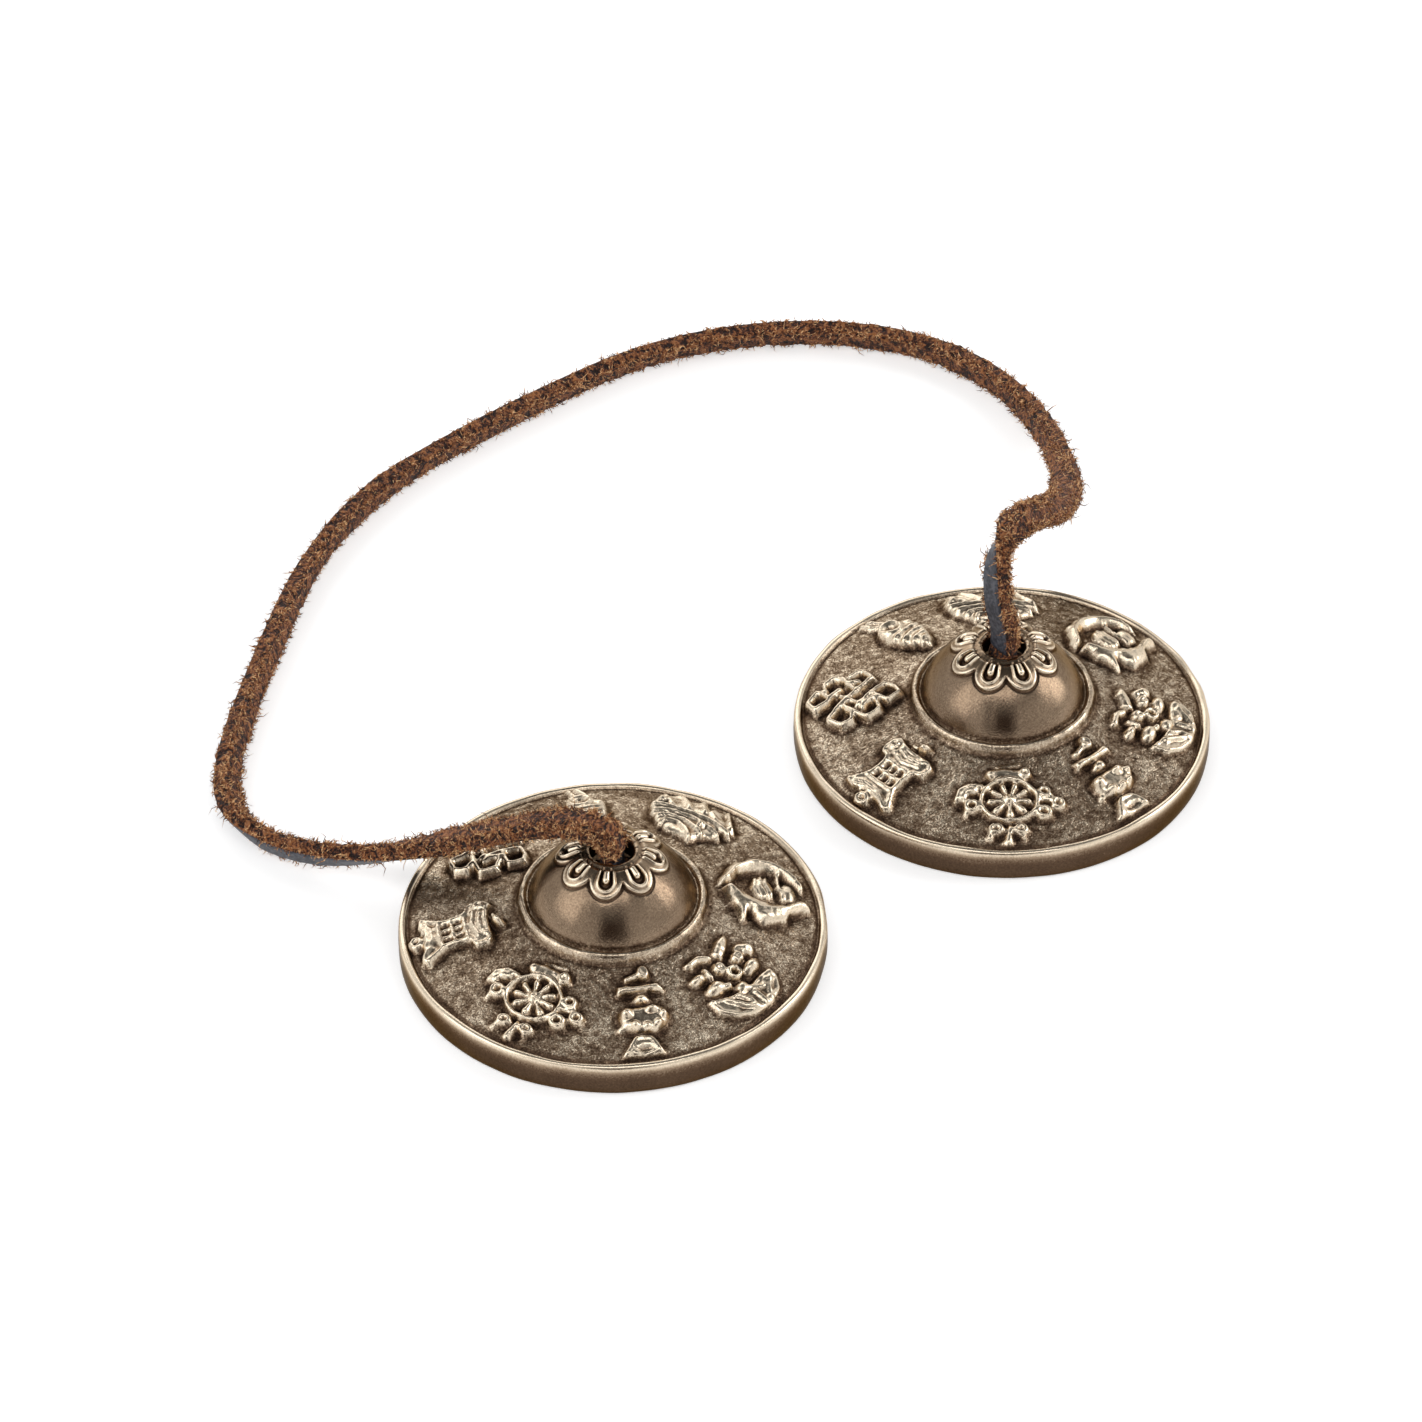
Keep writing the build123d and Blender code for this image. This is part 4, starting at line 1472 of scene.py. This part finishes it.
@dataclass(frozen=True)
class BellMetal:
    """Antiqued bell metal: burnished high places, dark hollows and a sandy cast skin."""

    bright: Colour = (0.80, 0.675, 0.515, 1.0)
    middle: Colour = (0.30, 0.219, 0.148, 1.0)
    deep: Colour = (0.105, 0.065, 0.041, 1.0)
    dark: Colour = (0.026, 0.015, 0.010, 1.0)
    edge: Colour = (0.55, 0.48, 0.40, 1.0)
    gloss: tuple[Point, ...] = ((0.0, 0.27), (0.3, 0.22), (0.55, 0.23), (1.0, 0.42))
    colour_stops: tuple[float, ...] = (0.0, 0.32, 0.62, 1.0)
    mottle: tuple[float, float, float] = (130.0, 3400.0, 0.7)
    sandy_spread: float = 2.4
    least_spread: float = 0.3
    sandy_gloss: float = 0.35
    sand_scale: float = 3200.0
    sand_depth: float = 0.00017

    def make(self, mottle: bpy.types.NodeTree) -> bpy.types.Material:
        """Builds the material.

        Args:
            mottle: The shared group of uneven shading.

        Returns:
            The material.
        """
        material, graph, shader = new_finish("bell_metal")
        shader.inputs["Metallic"].default_value = 1.0
        shader.inputs["Specular Tint"].default_value = self.edge
        place = graph.add("ShaderNodeTexCoord").outputs["Object"]
        # The kept patina is partly painted shade in the hollows round the relief
        patina, grain = graph.kept("patina"), graph.kept("grain")
        spread = graph.maths("SUBTRACT", graph.uneven(mottle, place, *self.mottle), 0.5)
        reach = graph.maths("MULTIPLY_ADD", grain, self.sandy_spread, self.least_spread)
        mask = graph.maths("ADD", patina, graph.maths("MULTIPLY", spread, reach))
        colours = (self.bright, self.middle, self.deep, self.dark)
        graph.join(graph.ramp(mask, tuple(zip(self.colour_stops, colours))), shader.inputs["Base Color"])
        worn = graph.maths("ADD", graph.maths("MULTIPLY", grain, self.sandy_gloss), mask)
        gloss = tuple((patina_and_shade, grey(rough)) for patina_and_shade, rough in self.gloss)
        graph.join(graph.ramp(worn, gloss), shader.inputs["Roughness"])
        bump = graph.raise_by(graph.speckle(place, self.sand_scale), self.sand_depth, shader)
        graph.join(grain, bump.inputs["Strength"])
        return material


@dataclass(frozen=True)
class Hide:
    """One side of the leather, or its loose fibres: its colours, and the scale and depth of its grain."""

    name: str
    shade: Colour
    middle: Colour
    light: Colour
    coarse: float
    fine: float
    roughness: float
    depth: float
    sheen: float
    # Share by which the tufts' height paints the tone: painted shade in the pits between tufts, painted light
    # on the tufts
    tuft_shading: float = 0.0
    fine_share: float = 0.6
    shine: float = 0.3
    colour_stops: tuple[float, ...] = (0.43, 0.5, 0.57)

    def make(self, mottle: bpy.types.NodeTree) -> bpy.types.Material:
        """Builds the material.

        Args:
            mottle: The shared group of uneven shading.

        Returns:
            The material.
        """
        material, graph, shader = new_finish(self.name)
        shader.inputs["Roughness"].default_value = self.roughness
        shader.inputs["Sheen Weight"].default_value = self.sheen
        shader.inputs["Specular IOR Level"].default_value = self.shine
        place = graph.add("ShaderNodeTexCoord").outputs["Object"]
        uneven = graph.uneven(mottle, place, self.coarse, self.fine, self.fine_share)
        tone = uneven
        # Painted shade in the pits between tufts and painted light on the tufts, from the kept tuft height
        if self.tuft_shading:
            tone = graph.maths("ADD", uneven, graph.maths("MULTIPLY", graph.kept("tuft"), self.tuft_shading))
        colours = (self.shade, self.middle, self.light)
        graph.join(graph.ramp(tone, tuple(zip(self.colour_stops, colours))), shader.inputs["Base Color"])
        graph.raise_by(uneven, self.depth, shader)
        return material


# The flesh side's tufts are painted lighter and the pits between them darker: painted light and shade
FLESH_SIDE = Hide(
    "lace_flesh_side", (0.016, 0.006, 0.004, 1.0), (0.12, 0.036, 0.015, 1.0), (0.42, 0.165, 0.06, 1.0),
    coarse=800.0, fine=2600.0, roughness=0.95, depth=0.0009, sheen=0.1, tuft_shading=0.16,
)
GRAIN_SIDE = Hide(
    "lace_grain_side", (0.022, 0.023, 0.030, 1.0), (0.045, 0.047, 0.060, 1.0), (0.085, 0.088, 0.105, 1.0),
    coarse=300.0, fine=1800.0, roughness=0.5, depth=0.00008, sheen=0.0,
)
FIBRES = Hide(
    "lace_fibres", (0.035, 0.011, 0.006, 1.0), (0.38, 0.145, 0.05, 1.0), (0.98, 0.62, 0.31, 1.0),
    coarse=700.0, fine=2000.0, roughness=0.9, depth=0.0001, sheen=0.1,
)


@dataclass(frozen=True)
class Softbox:
    """A lamp's name, place in metres, width and height, and power in watts."""

    name: str
    place: tuple[float, float, float]
    size: Point
    power: float


@dataclass
class Studio:
    """Pale floor, soft lamps and the camera that the photograph was taken with. Sizes are in metres."""

    camera_place: Vector
    camera_aim: Vector
    focal_pixels: float = 7205.1
    floor_side: float = 6.0
    floor_glow: float = 0.42
    dark_way: tuple[float, float, float] = (-0.622, -0.783, 0.0)
    dark_stops: Point = (0.91, 0.97)
    dark_colour: Colour = (0.06, 0.035, 0.025, 1.0)
    over_stops: Point = (0.5, 0.8)
    sky_levels: tuple[Point, ...] = ((0.0, 0.86), (0.4, 0.98), (0.68, 0.7), (0.86, 0.18), (1.0, 0.06))
    softboxes: tuple[Softbox, ...] = (
        Softbox("left_softbox", (-0.75, 0.25, 0.55), (0.6, 0.8), 2.2),
        Softbox("back_softbox", (0.35, 0.95, 0.6), (1.0, 0.6), 2.2),
        Softbox("right_softbox", (0.75, -0.45, 0.5), (0.4, 0.7), 2.8),
        Softbox("top_softbox", (-0.255, -0.297, 0.795), (0.7, 0.28), 1.5),
    )

    def floor(self) -> None:
        """Pale floor that shows white and keeps the object's shadow."""
        shape = bmesh.new()
        bmesh.ops.create_grid(shape, x_segments=1, y_segments=1, size=self.floor_side / 2)
        mesh = bpy.data.meshes.new("floor")
        shape.to_mesh(mesh)
        shape.free()
        piece = bpy.data.objects.new("floor", mesh)
        bpy.context.scene.collection.objects.link(piece)
        material, graph, shader = new_finish("floor")
        shader.inputs["Base Color"].default_value = grey(0.9)
        shader.inputs["Roughness"].default_value = 1.0
        shader.inputs["Specular IOR Level"].default_value = 0.0
        shader.inputs["Emission Color"].default_value = grey(1.0)
        path = graph.add("ShaderNodeLightPath")
        seen = graph.maths("MAXIMUM", path.outputs["Is Camera Ray"], path.outputs["Is Glossy Ray"])
        seen = graph.maths("MAXIMUM", seen, path.outputs["Is Transmission Ray"])
        graph.join(graph.maths("MULTIPLY", seen, self.floor_glow), shader.inputs["Emission Strength"])
        mesh.materials.append(material)

    def sky(self) -> None:
        """Soft room light: white round the horizon, dimmer overhead, with a dark gap behind the camera."""
        world = bpy.data.worlds.new("room")
        bpy.context.scene.world = world
        world.use_nodes = True
        graph = Graph(world.node_tree)
        background = world.node_tree.nodes["Background"]
        way = graph.add("ShaderNodeTexCoord").outputs["Generated"]
        split = graph.add("ShaderNodeSeparateXYZ")
        graph.join(way, split.inputs[0])
        stops = tuple((rise, grey(level)) for rise, level in self.sky_levels)
        shade = graph.ramp(split.outputs["Z"], stops)
        level = graph.add("ShaderNodeVectorMath", operation="MULTIPLY")
        level.inputs[1].default_value = (1.0, 1.0, 0.0)
        graph.join(way, level.inputs[0])
        heading = graph.add("ShaderNodeVectorMath", operation="NORMALIZE")
        graph.join(level.outputs["Vector"], heading.inputs[0])
        facing = graph.add("ShaderNodeVectorMath", operation="DOT_PRODUCT")
        facing.inputs[1].default_value = self.dark_way
        graph.join(heading.outputs["Vector"], facing.inputs[0])
        gap_colours = tuple(zip(self.dark_stops, (grey(1.0), self.dark_colour)))
        gap = graph.ramp(facing.outputs["Value"], gap_colours)
        over_colours = tuple(zip(self.over_stops, (grey(0.0), grey(1.0))))
        over = graph.ramp(split.outputs["Z"], over_colours)
        band = graph.add("ShaderNodeMix", data_type="RGBA", blend_type="LIGHTEN")
        mix = graph.add("ShaderNodeMix", data_type="RGBA", blend_type="MULTIPLY")
        for node, first, second in ((band, gap, over), (mix, shade, band.outputs["Result"])):
            node.inputs["Factor"].default_value = 1.0
            graph.join(first, node.inputs["A"])
            graph.join(second, node.inputs["B"])
        graph.join(mix.outputs["Result"], background.inputs["Color"])

    def lamp(self, softbox: Softbox) -> None:
        """Lamp aimed at the object.

        Args:
            softbox: Its place, size and power.
        """
        light = bpy.data.lights.new(softbox.name, "AREA")
        light.shape = "RECTANGLE"
        light.size, light.size_y = softbox.size
        light.energy = softbox.power
        piece = bpy.data.objects.new(softbox.name, light)
        self.aim(piece, Vector(softbox.place))

    def aim(self, piece: bpy.types.Object, place: Vector) -> None:
        """Puts a lamp or camera in a place, where it looks at the object.

        Args:
            piece: The lamp or camera.
            place: Where it stands.
        """
        piece.location = place
        piece.rotation_euler = (self.camera_aim - place).to_track_quat("-Z", "Y").to_euler()
        bpy.context.scene.collection.objects.link(piece)

    def camera(self) -> None:
        """Camera at the photograph's own viewpoint and focal length."""
        lens = bpy.data.cameras.new("camera")
        lens.sensor_width = 36.0
        lens.lens = self.focal_pixels / PHOTO_SIDE * lens.sensor_width
        piece = bpy.data.objects.new("camera", lens)
        self.aim(piece, self.camera_place)
        bpy.context.scene.camera = piece

    def build(self) -> None:
        """Sets up the whole studio."""
        bpy.context.scene.view_settings.view_transform = "Standard"
        self.floor()
        self.sky()
        for softbox in self.softboxes:
            self.lamp(softbox)
        self.camera()


def place_route(route: Sequence[Station], centre_x: float, turn: float) -> tuple[Station, ...]:
    """Route moved from the origin to a cymbal's axis and turned about it.

    Args:
        route: Stations round the origin.
        centre_x: Where the axis stands, in metres.
        turn: Degrees round from +X.

    Returns:
        The moved stations.
    """
    spin = Matrix.Rotation(math.radians(turn), 3, "Z")
    moved = []
    for station in route:
        point = spin @ Vector((station.x, station.y, station.z))
        moved.append(Station(point.x + centre_x, point.y, point.z, station.around + turn, station.up))
    return tuple(moved)


def main() -> None:
    """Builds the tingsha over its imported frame."""
    logging.basicConfig(level=logging.INFO, format="%(name)s: %(message)s")
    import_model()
    Studio(
        camera_place=Vector((-0.5314, -0.6435, 0.7333)),
        camera_aim=Vector((0.00779, 0.03435, 0.0)),
    ).build()

    mottle = mottle_group()
    flesh, grain, fibre = (hide.make(mottle) for hide in (FLESH_SIDE, GRAIN_SIDE, FIBRES))
    thong = Lace("lace", THONG_ROUTE, bunch=0.06)
    lace = thong.build(flesh, grain)
    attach(lace, "thong")
    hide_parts("thong")
    fuzz = thong.fibres("lace_fibres", Fuzz(), fibre)
    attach(fuzz, "thong")
    for end, centre_x, turn in (("front", -0.0385, 32.0), ("rear", 0.0385, 83.0)):
        route = place_route(KNOT_ROUTE, centre_x, turn)
        knot = Lace(f"{end}_knot_lace", route, thickness=0.0026, density=10, bunch=0.08).build(flesh, grain)
        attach(knot, f"{end}_knot")
        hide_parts(f"{end}_knot")
        LOG.info("%s knot: %d faces", end, len(knot.data.polygons))
    path = thong.spline_points()
    length = sum((after - before).length for before, after in zip(path, path[1:]))
    LOG.info("lace: %d faces, %.1f mm long", len(lace.data.polygons), length / MM)

    metal = BellMetal().make(mottle)
    symbols = (
        wheel(), vase(), lotus(), golden_fish(), parasol(), conch(), endless_knot(), victory_banner(),
    )
    for name, centre_x, turn, seed in (("front_cymbal", -38.5, -31.2, 3), ("rear_cymbal", 38.5, 0.0, 8)):
        casting = Cymbal(name, name, centre_x, turn, seed, symbols).build(metal)
        LOG.info("%s: %d faces", name, len(casting.data.polygons))


if __name__ == "__main__":
    main()
